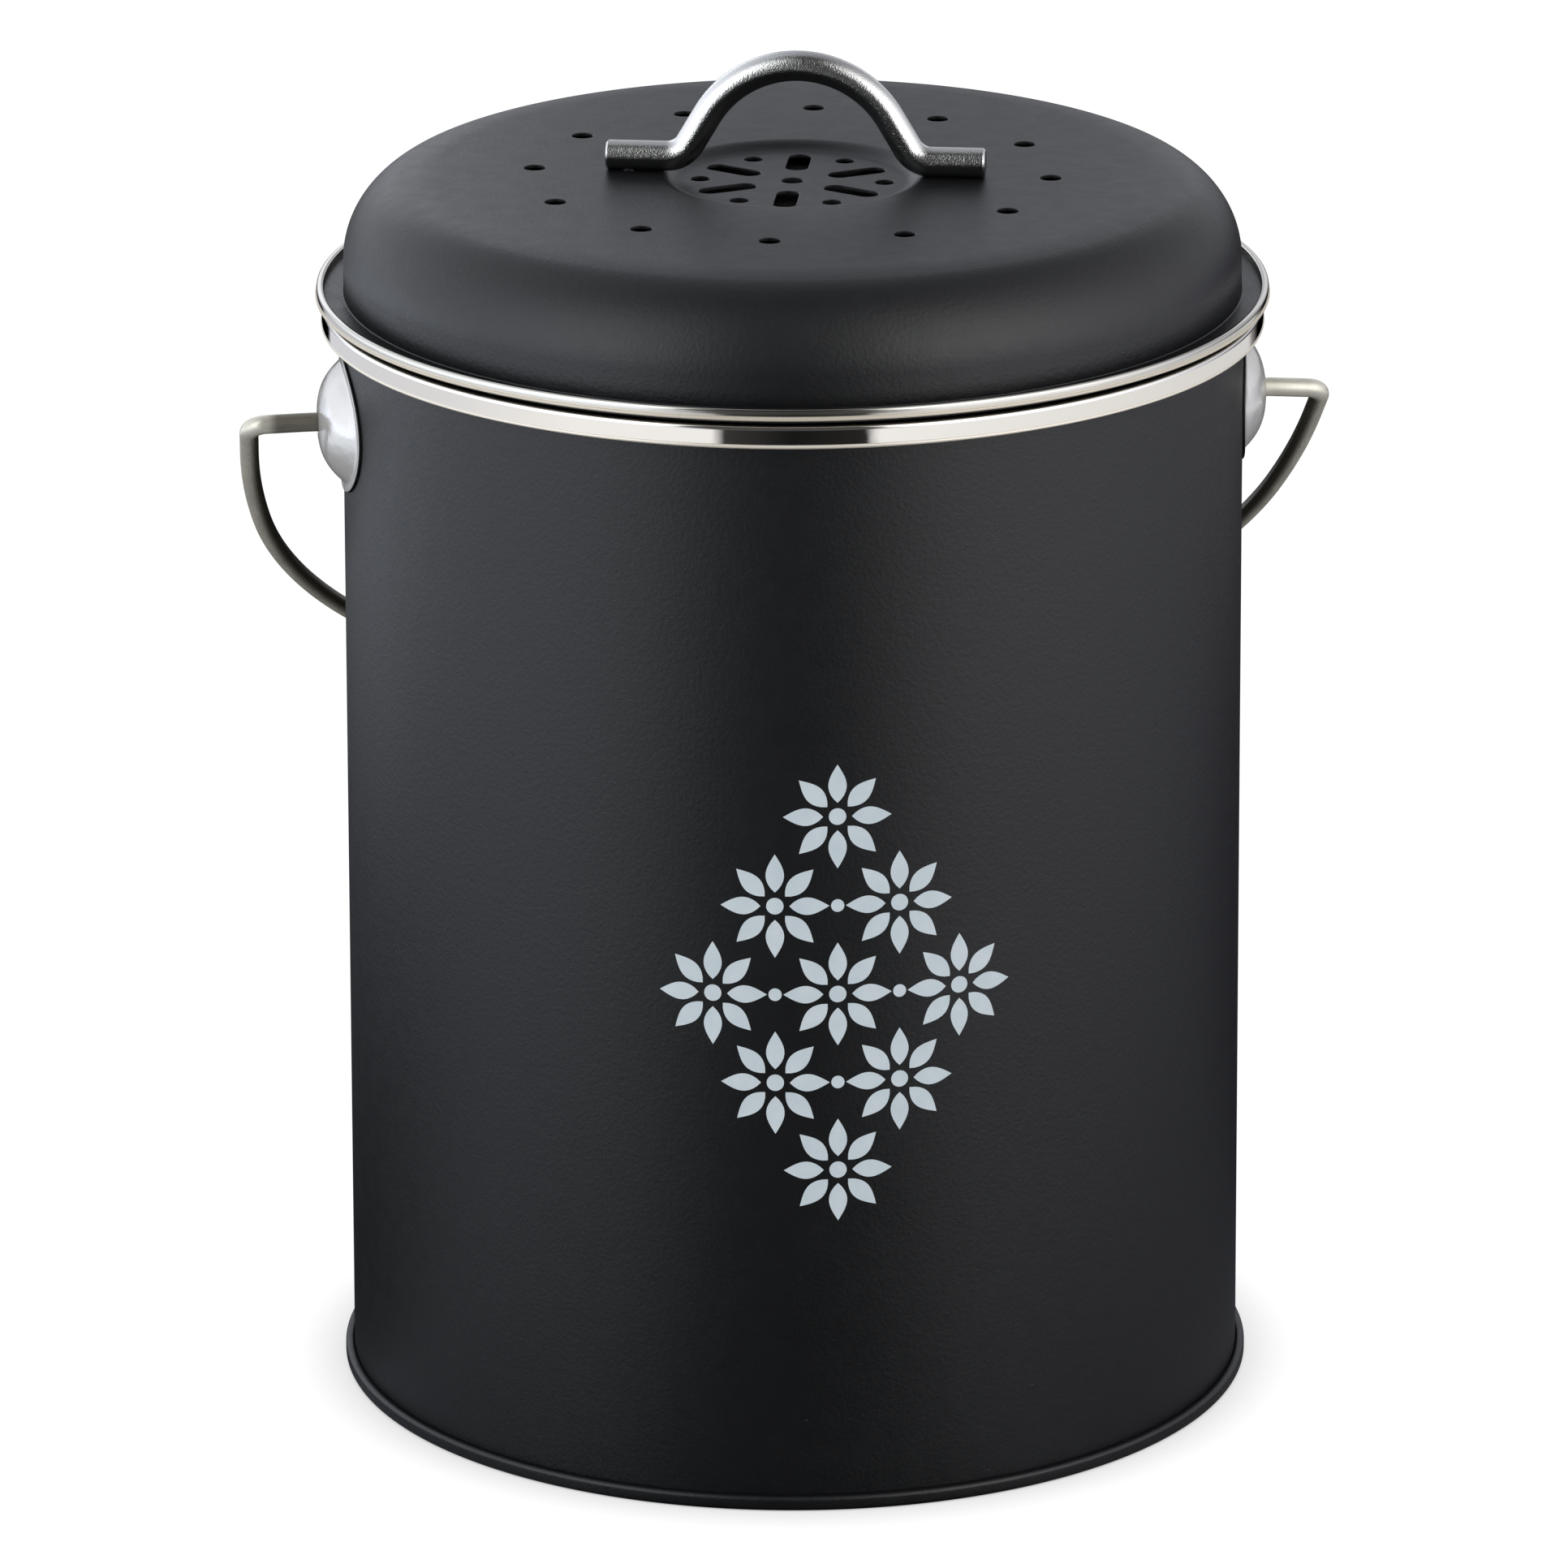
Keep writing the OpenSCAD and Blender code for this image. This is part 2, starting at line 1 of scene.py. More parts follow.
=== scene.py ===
# %% [markdown]
# # A steel food-waste caddy with a lift-off lid
# The real caddy is a pail of thin rolled sheet under a satin powder coat, with a polished collar at
# its rim, two pressed ears, a swinging wire bail and a loose domed lid full of vents.
# Its solids are already measured and packed. This lesson loads them as a fixed frame and dresses
# them piece by piece. The pieces' sizes are in millimetres and agree with the solids. The node
# trees, the finishes and the room are in metres, like the frame itself.

# %% Load the solids
import bpy
import bmesh
from math import asin, cos, degrees, hypot, pi, radians, sin, sqrt, tan, tau
from mathutils import Matrix, Vector, noise


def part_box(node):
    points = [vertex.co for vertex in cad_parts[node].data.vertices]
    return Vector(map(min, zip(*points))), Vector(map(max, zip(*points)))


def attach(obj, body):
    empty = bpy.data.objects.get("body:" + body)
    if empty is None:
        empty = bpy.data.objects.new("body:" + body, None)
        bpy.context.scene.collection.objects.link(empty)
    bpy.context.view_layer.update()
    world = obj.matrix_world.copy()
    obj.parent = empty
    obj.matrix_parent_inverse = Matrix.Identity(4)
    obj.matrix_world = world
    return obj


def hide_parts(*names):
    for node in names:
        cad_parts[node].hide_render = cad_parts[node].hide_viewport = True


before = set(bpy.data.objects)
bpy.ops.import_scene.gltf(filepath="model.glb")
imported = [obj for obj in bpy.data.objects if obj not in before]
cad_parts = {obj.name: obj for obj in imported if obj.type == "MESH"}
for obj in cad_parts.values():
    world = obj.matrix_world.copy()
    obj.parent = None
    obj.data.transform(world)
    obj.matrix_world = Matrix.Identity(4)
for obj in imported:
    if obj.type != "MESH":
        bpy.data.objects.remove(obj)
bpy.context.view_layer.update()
MM = 0.001

# %% [markdown]
# ## Sizes
# A pail like this is turned and pressed, so nearly every piece is a section swept round the Z axis.
# The sizes that several pieces share are named once here. The outer ones are read from the loaded
# solids, which keeps this file and the solids together.

# %% Name the shared sizes
WALL_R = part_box("body_shell")[1].x / MM
RIM_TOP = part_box("rim_collar")[1].z / MM
RIM_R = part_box("rim_collar")[1].y / MM
BEAD_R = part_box("lid_bead")[1].y / MM
CROWN_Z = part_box("lid_shell")[1].z / MM
SHEET, FLARE, FLARE_TOP = 0.6, 0.6, 186.0
FLANGE_Z, LID_WALL_R, LID_TURN = 226.0, 89.5, -12.0
EAR_Z, SCREW_X = 201.2, 32.6
print("wall", WALL_R, "rim", RIM_R, RIM_TOP, "bead", round(BEAD_R, 2), "crown", round(CROWN_Z, 2))

# %% [markdown]
# ## The camera
# A long lens far away keeps the pail's sides nearly upright. It stands a little to the left of the
# front, so that the left ear comes nearer, and looks down on the lid by eighteen degrees.

# %% Place the camera
CAMERA_TURN = radians(7.1)
CAMERA_AWAY, CAMERA_HIGH = 2.05095, 0.79424
CAMERA_PITCH = radians(18.1675)
CAMERA_YAW = radians(-0.055) + CAMERA_TURN
CAMERA_ROLL = radians(-0.151)
SENSOR_MM, FRAME_PX, FOCAL_PX = 36, 1932, 13133

aim = Vector((sin(CAMERA_YAW) * cos(CAMERA_PITCH),
              cos(CAMERA_YAW) * cos(CAMERA_PITCH), -sin(CAMERA_PITCH)))
side = Vector((cos(CAMERA_YAW), -sin(CAMERA_YAW), 0))
above = side.cross(aim)
right = side * cos(CAMERA_ROLL) + above * sin(CAMERA_ROLL)
up = above * cos(CAMERA_ROLL) - side * sin(CAMERA_ROLL)

lens = bpy.data.cameras.new("camera")
lens.sensor_width = SENSOR_MM
lens.lens = FOCAL_PX * SENSOR_MM / FRAME_PX
lens.clip_end = 50
camera = bpy.data.objects.new("camera", lens)
bpy.context.scene.collection.objects.link(camera)
camera.matrix_world = Matrix((
    (right.x, up.x, -aim.x, -CAMERA_AWAY * sin(CAMERA_TURN)),
    (right.y, up.y, -aim.y, -CAMERA_AWAY * cos(CAMERA_TURN)),
    (right.z, up.z, -aim.z, CAMERA_HIGH),
    (0, 0, 0, 1)))
bpy.context.scene.camera = camera
bpy.context.scene.view_settings.view_transform = "Standard"
print("lens", round(lens.lens, 1), "mm at", [round(v, 3) for v in camera.location])

# %% [markdown]
# ## Building node trees
# Shapes and finishes are both made of nodes here. A small class keeps the trees readable: it adds a
# node and fills or links its sockets, and has short calls for the nodes that come back often. One
# function starts a group with named inputs.

# %% Helper: a tree of nodes
class Tree:
    """A node tree in the making."""

    def __init__(self, tree):
        self.tree = tree
        self.family = tree.bl_idname.replace("NodeTree", "Node")

    def fill(self, socket, value):
        """Link a socket, or give it a plain value. A colour may leave out its alpha."""
        if isinstance(value, bpy.types.NodeSocket):
            self.tree.links.new(value, socket)
        else:
            socket.default_value = (*value, 1) if socket.type == "RGBA" else value

    def add(self, kind, inputs=None, **settings):
        """Add a node of the tree's own family, set its properties and fill its inputs."""
        made = self.tree.nodes.new(kind if "Node" in kind else self.family + kind)
        for name, value in settings.items():
            setattr(made, name, value)
        for name, value in (inputs or {}).items():
            self.fill(made.inputs[name], value)
        return made

    def get(self, kind, inputs=None, **settings):
        """Add a node and return its first output."""
        return self.add(kind, inputs, **settings).outputs[0]

    def calc(self, operation, a, b=0.0, c=0.0):
        """One Math node, for shapes and finishes alike."""
        return self.get("ShaderNodeMath", {0: a, 1: b, 2: c}, operation=operation)

    def rescale(self, value, low, high, to_low=0.0, to_high=1.0):
        """Take a number from one range to another, and stop at the ends."""
        return self.get("ShaderNodeMapRange", {"Value": value, "From Min": low, "From Max": high,
                                               "To Min": to_low, "To Max": to_high})

    def split(self, vector):
        """The X, Y and Z of a vector."""
        return self.add("ShaderNodeSeparateXYZ", {0: vector}).outputs

    def join(self, x, y=0.0, z=0.0):
        """A vector from its X, Y and Z."""
        return self.get("ShaderNodeCombineXYZ", {0: x, 1: y, 2: z})

    def spin(self, vector, angle):
        """A vector turned about the Z axis."""
        return self.get("ShaderNodeVectorRotate", {"Vector": vector, "Angle": angle},
                        rotation_type="Z_AXIS")

    def mix(self, mask, first, second):
        """Two colours, mixed by a mask."""
        return self.add("ShaderNodeMix", {"Factor": mask, 6: first, 7: second},
                        data_type="RGBA").outputs[2]

    def close(self, **results):
        """Link a group's outputs and report it."""
        for label, value in results.items():
            self.fill(self.result[label], value)
        print(self.tree.name, len(self.tree.nodes), "nodes")
        return self.tree


# %% Helpers: start a group, and grow a piece
def start_group(name, kind, inputs, outputs):
    """A new node group. An input is given as its default number, or as the name of its kind."""
    group = Tree(bpy.data.node_groups.new(name, kind))
    for in_out, sockets in (("INPUT", inputs), ("OUTPUT", outputs)):
        for label, value in sockets.items():
            plain = not isinstance(value, str)
            sort = ("Int" if isinstance(value, int) else "Float") if plain else value
            socket = group.tree.interface.new_socket(label, in_out=in_out,
                                                     socket_type="NodeSocket" + sort)
            if plain:
                socket.default_value = value
    group.given = group.add("NodeGroupInput").outputs
    group.result = group.add("NodeGroupOutput").inputs
    return group


def grow(name, mesh, tree, sizes):
    """Run a Geometry Nodes tree on a mesh with the given sizes, and keep the plain mesh."""
    piece = bpy.data.objects.new(name, mesh)
    bpy.context.scene.collection.objects.link(piece)
    shape = piece.modifiers.new("shape", "NODES")
    shape.node_group = tree
    for item in tree.interface.items_tree:
        if item.in_out == "INPUT" and item.name in sizes:
            shape[item.identifier] = sizes[item.name]
    grown = piece.evaluated_get(bpy.context.evaluated_depsgraph_get())
    plain = bpy.data.meshes.new_from_object(grown)
    piece.modifiers.clear()
    piece.data = plain
    plain.name = name
    return piece


print("helpers ready")

# %% [markdown]
# ## Shared effects
# Three effects carry the finishes, and each is a group of its own. *Grain* is a soft mottling that
# every finish uses, *turned lines* are the fine rings that a polishing wheel leaves on a spun
# piece, and *specks* are the few pale dust grains that a dark coat shows.

# %% Groups: grain and turned lines
def mottle_group(name, size_name, size, detail, flatten=None):
    """A group of soft noise at one size, between Low and High."""
    group = start_group(name, "ShaderNodeTree", {"Vector": "Vector", size_name: size, "Low": 0.0,
                                                 "High": 1.0}, {"Value": "Float"})
    given = group.given
    where = flatten(group, given["Vector"]) if flatten else given["Vector"]
    pattern = group.get("TexNoise",
                        {"Vector": where, "Scale": group.calc("DIVIDE", 1.0, given[size_name]),
                         "Detail": detail})
    return group.close(Value=group.rescale(pattern, 0.25, 0.75, given["Low"], given["High"]))


def turning_plane(group, vector):
    """A place as its distance from the axis and its height, which draws rings round the axis."""
    x, y, z = group.split(vector)
    from_axis = group.calc("SQRT", group.calc("MULTIPLY_ADD", x, x, group.calc("MULTIPLY", y, y)))
    return group.join(from_axis, z)


grain_group = mottle_group("grain", "Size", 0.001, 3.0)
lines_group = mottle_group("turned_lines", "Pitch", 0.0003, 2.0, turning_plane)

# %% Group: specks
specks = start_group("specks", "ShaderNodeTree", {"Vector": "Vector", "Spacing": 0.006,
                                                  "Width": 0.02, "Share": 0.1}, {"Mask": "Float"})
cells = specks.add("TexVoronoi",
                   {"Vector": specks.given["Vector"],
                    "Scale": specks.calc("DIVIDE", 1.0, specks.given["Spacing"])}).outputs
chosen = specks.calc("LESS_THAN",
                     specks.get("SeparateColor", {"Color": cells["Color"]}),
                     specks.given["Share"])
near = specks.calc("LESS_THAN", cells["Distance"], specks.given["Width"])
specks_group = specks.close(Mask=specks.calc("MULTIPLY", chosen, near))

# %% [markdown]
# ## The finishes
# Each finish is one Principled shader with its own values. Colours are written as they look under
# plain light, in linear values. The coat is nearly black and takes its grey from soft reflections,
# so its roughness matters more than its colour.

# %% Helper: a finish
class Finish(Tree):
    """A material with one Principled shader, whose plain values are set on its own sockets."""

    def __init__(self, name, **plain):
        self.material = bpy.data.materials.new(name)
        self.material.use_nodes = True
        super().__init__(self.material.node_tree)
        self.shader = self.tree.nodes["Principled BSDF"]
        self.where = self.add("TexCoord").outputs["Object"]
        self.set(**plain)

    def set(self, **values):
        """Fill or link the shader's sockets."""
        for label, value in values.items():
            self.fill(self.shader.inputs[label.replace("_", " ")], value)

    def effect(self, group, **values):
        """One shared effect with its own values."""
        return self.get("Group", {"Vector": self.where, **values}, node_tree=group)

    def grain(self, size, low=0.0, high=1.0, **at):
        """The shared grain, at one size in metres."""
        return self.effect(grain_group, Size=size, Low=low, High=high, **at)

    def dents(self, *layers):
        """Bend the normal by height maps, each with its depth in metres, the coarse one first."""
        for height, depth in layers:
            bump = self.add("Bump", {"Height": height, "Distance": depth})
            for link in self.shader.inputs["Normal"].links:
                self.tree.links.new(link.from_socket, bump.inputs["Normal"])
            self.set(Normal=bump.outputs[0])

    def done(self):
        """Report the finish and hand over its material."""
        print(self.material.name, len(self.tree.nodes), "nodes")
        return self.material


print("finish helper ready")

# %% Finish: black powder coat
coat = Finish("satin_black_coat", Specular_IOR_Level=0.5)
dust = coat.effect(specks_group, Spacing=0.009, Width=0.014, Share=0.16)
paint = coat.mix(coat.grain(0.03), (0.0052, 0.0056, 0.0065), (0.0062, 0.0067, 0.0077))
coat.set(Base_Color=coat.mix(dust, paint, (0.09, 0.09, 0.09)),
         Roughness=coat.grain(0.004, 0.37, 0.42))
coat.dents((coat.grain(0.0009), 0.000028), (coat.grain(0.00022), 0.000016))
black_coat = coat.done()

# %% Finish: polished steel
DULL_ROUGHER, DULL_METALLIC = 0.22, 0.25


def polished(name, colour, low, high, ring_depth, painted_highlight_below=None, painted_highlight_colour=None):
    """Steel polished on a wheel: a mirror with fine rings and faint slow waves.

    Below the given height the steel is rougher, less metallic and cream: the cream colour is a
    painted highlight for the bright line that a hem mirrors.
    """
    steel = Finish(name, Base_Color=colour, Metallic=1.0)
    gloss = steel.effect(lines_group, Pitch=0.00035, Low=low, High=high)
    if painted_highlight_below is not None:
        # Painted highlight: below the given height the colour turns cream, for the light that a hem
        # mirrors.
        painted_highlight_mask = steel.rescale(steel.split(steel.where)["Z"], (painted_highlight_below + 0.1) * MM,
                             (painted_highlight_below - 0.1) * MM)
        gloss = steel.calc("MULTIPLY_ADD", painted_highlight_mask, DULL_ROUGHER, gloss)
        steel.set(Metallic=steel.calc("MULTIPLY_ADD", painted_highlight_mask, DULL_METALLIC - 1.0, 1.0),
                  Base_Color=steel.mix(painted_highlight_mask, colour, painted_highlight_colour))
    steel.set(Roughness=gloss)
    steel.dents((steel.grain(0.012), 0.00002),
                (steel.effect(lines_group, Pitch=0.0002), ring_depth))
    return steel.done()


# The hems of the collar and the bead get the cream painted highlight below the heights given here.
polished_steel = polished("wheel_polished_steel", (0.86, 0.83, 0.79), 0.04, 0.07, 0.0000003,
                          RIM_TOP - 3.72, (0.92, 0.86, 0.76))
bead_steel = polished("hand_rubbed_steel", (0.64, 0.62, 0.57), 0.08, 0.14, 0.0000012,
                      FLANGE_Z + 0.1, (0.68, 0.62, 0.52))
satin_steel = polished("satin_steel", (0.66, 0.65, 0.63), 0.20, 0.32, 0.000002)


# %% Finish: bright plate
def plated(name, colour, rough, peel_size, peel_depth, wave_depth, metallic=1.0):
    """Bright plating over metal that wasn't polished flat: orange peel and slow waves."""
    plate = Finish(name, Base_Color=colour, Metallic=metallic)
    plate.set(Roughness=plate.grain(0.002, rough, rough * 2))
    plate.dents((plate.grain(0.006), wave_depth), (plate.grain(peel_size), peel_depth))
    return plate.done()


handle_chrome = plated("handle_chrome", (0.72, 0.72, 0.71), 0.06, 0.0003, 0.000034, 0.00002)
# Near black, as painted shade: the screws' shanks show in the narrow gap under the handle's feet.
screw_shade_finish = plated("blackened_steel", (0.05, 0.05, 0.055), 0.30, 0.0006, 0.000012, 0.00002)
ear_chrome = plated("ear_chrome", (0.77, 0.76, 0.75), 0.14, 0.0012, 0.00001, 0.00010, 0.5)

# %% [markdown]
# The bail is drawn wire, and drawing leaves long scratches that follow every bend. A pattern in
# plain space would run straight through the bends, so the wire carries its own coordinates in an
# attribute named *bar*: two numbers across the wire and one along it. The side of the legs that
# faces the pail is painted darker: painted shade for the shadow between wire and wall. The left
# stub is also darker near its ear.

# %% Finish: drawn wire
PAINTED_SHADE_SIDE, STUB_END_X, STUB_LOW, STUB_DARKENING = -0.6, -104.5, EAR_Z - 4.0, 0.8
wire = Finish("drawn_nickel_wire", Metallic=0.5)
along = wire.add("Attribute", attribute_name="bar").outputs["Vector"]
drawn = wire.get("VectorMath", {0: along, 1: (1, 1, 0.06)}, operation="MULTIPLY")
facing = wire.split(wire.add("TexCoord").outputs["Normal"])["X"]
x, y, z = wire.split(wire.where)
# Painted shade: the side of the wire that faces the pail gets a dark colour.
outward = wire.calc("MULTIPLY", wire.calc("SIGN", x), facing)
painted_shade_inner = wire.rescale(outward, 0.0, PAINTED_SHADE_SIDE)
# The left stub, from the corner inwards, is darker near its ear.
past_corner = wire.rescale(x, (STUB_END_X - 1) * MM, (STUB_END_X + 1) * MM)
on_stub = wire.rescale(z, (STUB_LOW - 0.5) * MM, (STUB_LOW + 0.5) * MM)
on_left_stub = wire.calc("MULTIPLY", wire.calc("MULTIPLY", past_corner, on_stub),
                    wire.calc("LESS_THAN", x, 0.0))
# This mask joins the painted shade on the inner side and the darker left stub.
dark = wire.calc("MAXIMUM", painted_shade_inner, wire.calc("MULTIPLY", on_left_stub, STUB_DARKENING))
wire_tone = wire.mix(wire.grain(0.004, Vector=along), (0.64, 0.61, 0.52), (0.82, 0.80, 0.70))
wire.set(Base_Color=wire.mix(dark, wire_tone, (0.12, 0.11, 0.085)),
         Roughness=wire.grain(0.0005, 0.24, 0.36, Vector=drawn))
wire.dents((wire.grain(0.0005, Vector=along), 0.00001), (wire.grain(0.0006, Vector=drawn), 0.00001))
drawn_wire = wire.done()

# %% [markdown]
# The remaining finishes are quiet ones: printed ink, the silicone seal, the moulded tray and the
# felt of the charcoal pad, whose fibres lie flat.

# %% Finish: silicone, moulded plastic, ink and felt
def quiet(name, blotch, dark, light, gloss, low, high, bump=None, depth=0.0, flat=None, **plain):
    """A plain soft finish: two near colours, an uneven gloss and perhaps a fine bump."""
    soft = Finish(name, **plain)
    lie = {} if flat is None else {"Vector": soft.get(
        "VectorMath", {0: soft.where, 1: flat}, operation="MULTIPLY")}
    soft.set(Base_Color=soft.mix(soft.grain(blotch, **lie), dark, light),
             Roughness=soft.grain(gloss, low, high))
    if bump is not None:
        soft.dents((soft.grain(bump, **lie), depth))
    return soft.done()


print_ink = quiet("print_ink", 0.004, (0.60, 0.69, 0.75), (0.68, 0.76, 0.81),
                  0.0006, 0.42, 0.60, 0.0004, 0.000005)
silicone = quiet("black_silicone", 0.01, (0.016, 0.016, 0.017), (0.022, 0.022, 0.023),
                 0.002, 0.55, 0.7)
tray_plastic = quiet("moulded_black_plastic", 0.02, (0.020, 0.020, 0.021), (0.026, 0.026, 0.028),
                     0.001, 0.42, 0.55, 0.0004, 0.00002)
charcoal_felt = quiet("grey_felt", 0.0006, (0.004, 0.004, 0.0045), (0.012, 0.012, 0.013),
                      0.001, 0.9, 1.0, 0.0005, 0.0003, (1, 1, 2.5), Specular_IOR_Level=0.1)

# %% [markdown]
# ## Turned pieces
# The wall, the collar, the lid and the foot are all one section turned round the Z axis. A lathe of
# our own in Geometry Nodes takes the section as a chain of points and copies it round in small
# steps. Compared with Blender's Screw modifier it closes the seam and the poles by itself. Every
# shape tree ends with the same *crisp edges*, which mark the sharp edges by their angle.

# %% Tree: crisp edges
def shape_group(name, inputs):
    """A Geometry Nodes tree: geometry in and out, its own sizes, and a finish."""
    return start_group(name, "GeometryNodeTree",
                       {"Geometry": "Geometry", **inputs, "Material": "Material"},
                       {"Geometry": "Geometry"})


crisp = shape_group("crisp_edges", {"Sharp angle": radians(32)})
smooth = crisp.get("SetShadeSmooth", {"Geometry": crisp.given["Geometry"]})
corner = crisp.calc("GREATER_THAN", crisp.get("InputMeshEdgeAngle"), crisp.given["Sharp angle"])
marked = crisp.get("SetShadeSmooth",
                   {"Geometry": smooth, "Selection": corner, "Shade Smooth": False}, domain="EDGE")
real = crisp.get("RealizeInstances", {"Geometry": marked})
crisp_tree = crisp.close(Geometry=crisp.get(
    "SetMaterial", {"Geometry": real, "Material": crisp.given["Material"]}))


def close_crisp(group, geometry):
    """Let the crisp edges finish a shape tree."""
    return group.close(Geometry=group.get(
        "Group", {"Geometry": geometry, "Material": group.given["Material"]},
        node_tree=crisp_tree))


# %% Tree: lathe
lathe = shape_group("lathe", {"Segments": 192})
section, segments = lathe.given["Geometry"], lathe.given["Segments"]
count = lathe.add("AttributeDomainSize", {"Geometry": section}).outputs["Point Count"]
cloth = lathe.get("MeshGrid", {"Vertices X": lathe.calc("ADD", segments, 1.0), "Vertices Y": count})
index = lathe.get("InputIndex")
place = lathe.get("SampleIndex",
                  {"Geometry": section, "Value": lathe.get("InputPosition"),
                   "Index": lathe.calc("MODULO", index, count)}, data_type="FLOAT_VECTOR")
step = lathe.calc("FLOOR", lathe.calc("DIVIDE", lathe.calc("ADD", index, 0.5), count))
angle = lathe.calc("MULTIPLY", step, lathe.calc("DIVIDE", tau, segments))
bent = lathe.get("SetPosition", {"Geometry": cloth, "Position": lathe.spin(place, angle)})
lathe_tree = close_crisp(lathe, lathe.get("MergeByDistance",
                                          {"Geometry": bent, "Distance": 0.000002}))


# %% Helpers for turned pieces
def arc(x, z, r, start, end, steps=12):
    """Points along an arc in the turning plane, from one angle to another, in degrees."""
    return [(x + r * cos(radians(start + (end - start) * i / steps)),
             z + r * sin(radians(start + (end - start) * i / steps)))
            for i in range(steps + 1)]


def swing(x, y, angle):
    """A place turned about the Z axis."""
    a = radians(angle)
    return x * cos(a) - y * sin(a), x * sin(a) + y * cos(a)


def flat_mesh(name, points, edges=(), faces=()):
    """A mesh from points in millimetres."""
    mesh = bpy.data.meshes.new(name)
    mesh.from_pydata([tuple(v * MM for v in point) for point in points], edges, faces)
    return mesh


def chain(name, points):
    """A chain of points as a mesh of edges."""
    return flat_mesh(name, points, [(i, i + 1) for i in range(len(points) - 1)])


def note(mesh, label, values):
    """Store a number on every point of a mesh."""
    layer = mesh.attributes.new(label, "FLOAT", "POINT")
    for spot, value in zip(layer.data, values):
        spot.value = value


def outwards(piece):
    """Merge doubles, turn the whole skin the right way out and report it."""
    work = bmesh.new()
    work.from_mesh(piece.data)
    bmesh.ops.remove_doubles(work, verts=work.verts, dist=0.000001)
    volume = work.calc_volume(signed=True)
    if volume < 0:
        bmesh.ops.reverse_faces(work, faces=work.faces)
    open_edges = sum(not edge.is_manifold for edge in work.edges)
    work.to_mesh(piece.data)
    work.free()
    print(f"{piece.name}: {len(piece.data.polygons)} faces, {abs(volume) * 1e9:.0f} mm3,",
          f"{open_edges} open edges")
    return piece


def turn(name, section, finish, segments=192):
    """Turn a closed section round the Z axis."""
    loop = [(x, 0, z) for x, z in section]
    if section[0][0] > 0 or section[-1][0] > 0:
        loop.append(loop[0])
    return outwards(grow(name, chain(name, loop), lathe_tree,
                         {"Segments": segments, "Material": finish}))


def settle(piece, body, slot, *nodes):
    """Let a finished piece stand for its solids and move with their body."""
    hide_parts(*nodes)
    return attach(piece, body)


print("turning helpers ready")

# %% [markdown]
# ### The pail
# The wall is a tube of 0.6 mm sheet that widens by a hair's breadth towards the foot. The collar is
# a separate polished strip: flat on top, with a tight bend, a plain upright band and a small rolled
# hem. Under the hem it turns in towards the wall and stops just short of it.
# The foot is a seamed ring: its upper inner edge is rounded away, and that leaves the dark groove
# that a rolled seam shows against the wall.

# %% Turn the wall and the collar
foot_r, wall_in, wall_top = WALL_R + FLARE, WALL_R - SHEET, RIM_TOP - SHEET
wall = turn("wall", [(foot_r, 0), (WALL_R, FLARE_TOP), (WALL_R, wall_top), (wall_in, wall_top),
                     (wall_in, FLARE_TOP), (foot_r - SHEET, 0)], black_coat, 256)
settle(wall, "caddy", "black_coat", "body_shell")

RIM_BEND, BAND_IN, BAND_LOW, BAND_EDGE = 0.8, 0.15, 3.6, 0.12
HEM_R, HEM_LOW, LIP_GAP, LIP_R = 0.36, 4.04, 0.35, 0.5
hem_x, hem_z, band_x, lip_x = RIM_R - HEM_R, RIM_TOP - HEM_LOW, RIM_R - BAND_IN, WALL_R + LIP_GAP
bend_z, band_z = RIM_TOP - RIM_BEND, RIM_TOP - BAND_LOW
collar = turn(
    "collar",
    [(wall_in, RIM_TOP)] + arc(band_x - RIM_BEND, bend_z, RIM_BEND, 90, 0, 10)
    + [(band_x, bend_z - BAND_EDGE), (band_x, band_z + BAND_EDGE), (band_x, band_z)]
    + arc(hem_x, hem_z, HEM_R, 55, -90, 12)
    + arc(lip_x + 0.9, hem_z - HEM_R - 0.4, LIP_R, 270, 180, 5)
    + [(lip_x + 0.4, hem_z), (hem_x - 0.3, hem_z), (band_x - SHEET, band_z),
       (band_x - SHEET, bend_z), (band_x - RIM_BEND, wall_top), (wall_in, wall_top)],
    polished_steel, 256)
settle(collar, "caddy", "polished_steel", "rim_collar")

# %% Turn the foot
FOOT_OUT, FOOT_HIGH, FOOT_ROUND, GROOVE = 1.8, 3.1, 0.9, 0.55
round_x = foot_r + FOOT_OUT - FOOT_ROUND
foot_ring = turn(
    "foot_ring",
    arc(foot_r + GROOVE, FOOT_HIGH - GROOVE, GROOVE, 180, 90, 6)
    + arc(round_x, FOOT_HIGH - FOOT_ROUND, FOOT_ROUND, 90, 0, 8)
    + arc(round_x, FOOT_ROUND, FOOT_ROUND, 0, -90, 8) + [(foot_r, 0)], black_coat, 256)
settle(foot_ring, "caddy", "black_coat", "base_ring")

PLATE_LOW, PLATE_BEND = 3.0, 1.6
plate_r = foot_r - SHEET
bend_x, bend_z = plate_r - PLATE_BEND, PLATE_LOW + SHEET - PLATE_BEND
foot_plate = turn(
    "foot_plate",
    [(0, PLATE_LOW + SHEET)] + arc(bend_x, bend_z, PLATE_BEND, 90, 0, 8)
    + [(plate_r, 0), (plate_r - SHEET, 0)]
    + arc(bend_x, bend_z, PLATE_BEND - SHEET, 0, 90, 8) + [(0, PLATE_LOW)], black_coat, 128)
settle(foot_plate, "caddy", "black_coat", "base_plate")

# %% [markdown]
# ### The lid
# The lid's face is one pressed sheet: a shallow dish in the middle, a flat crown, a shoulder that
# starts slowly and then turns down in two radii, an upright wall and a narrow flange. The same list
# of arcs, taken once on the sheet's top and once on its underside, closes the section.

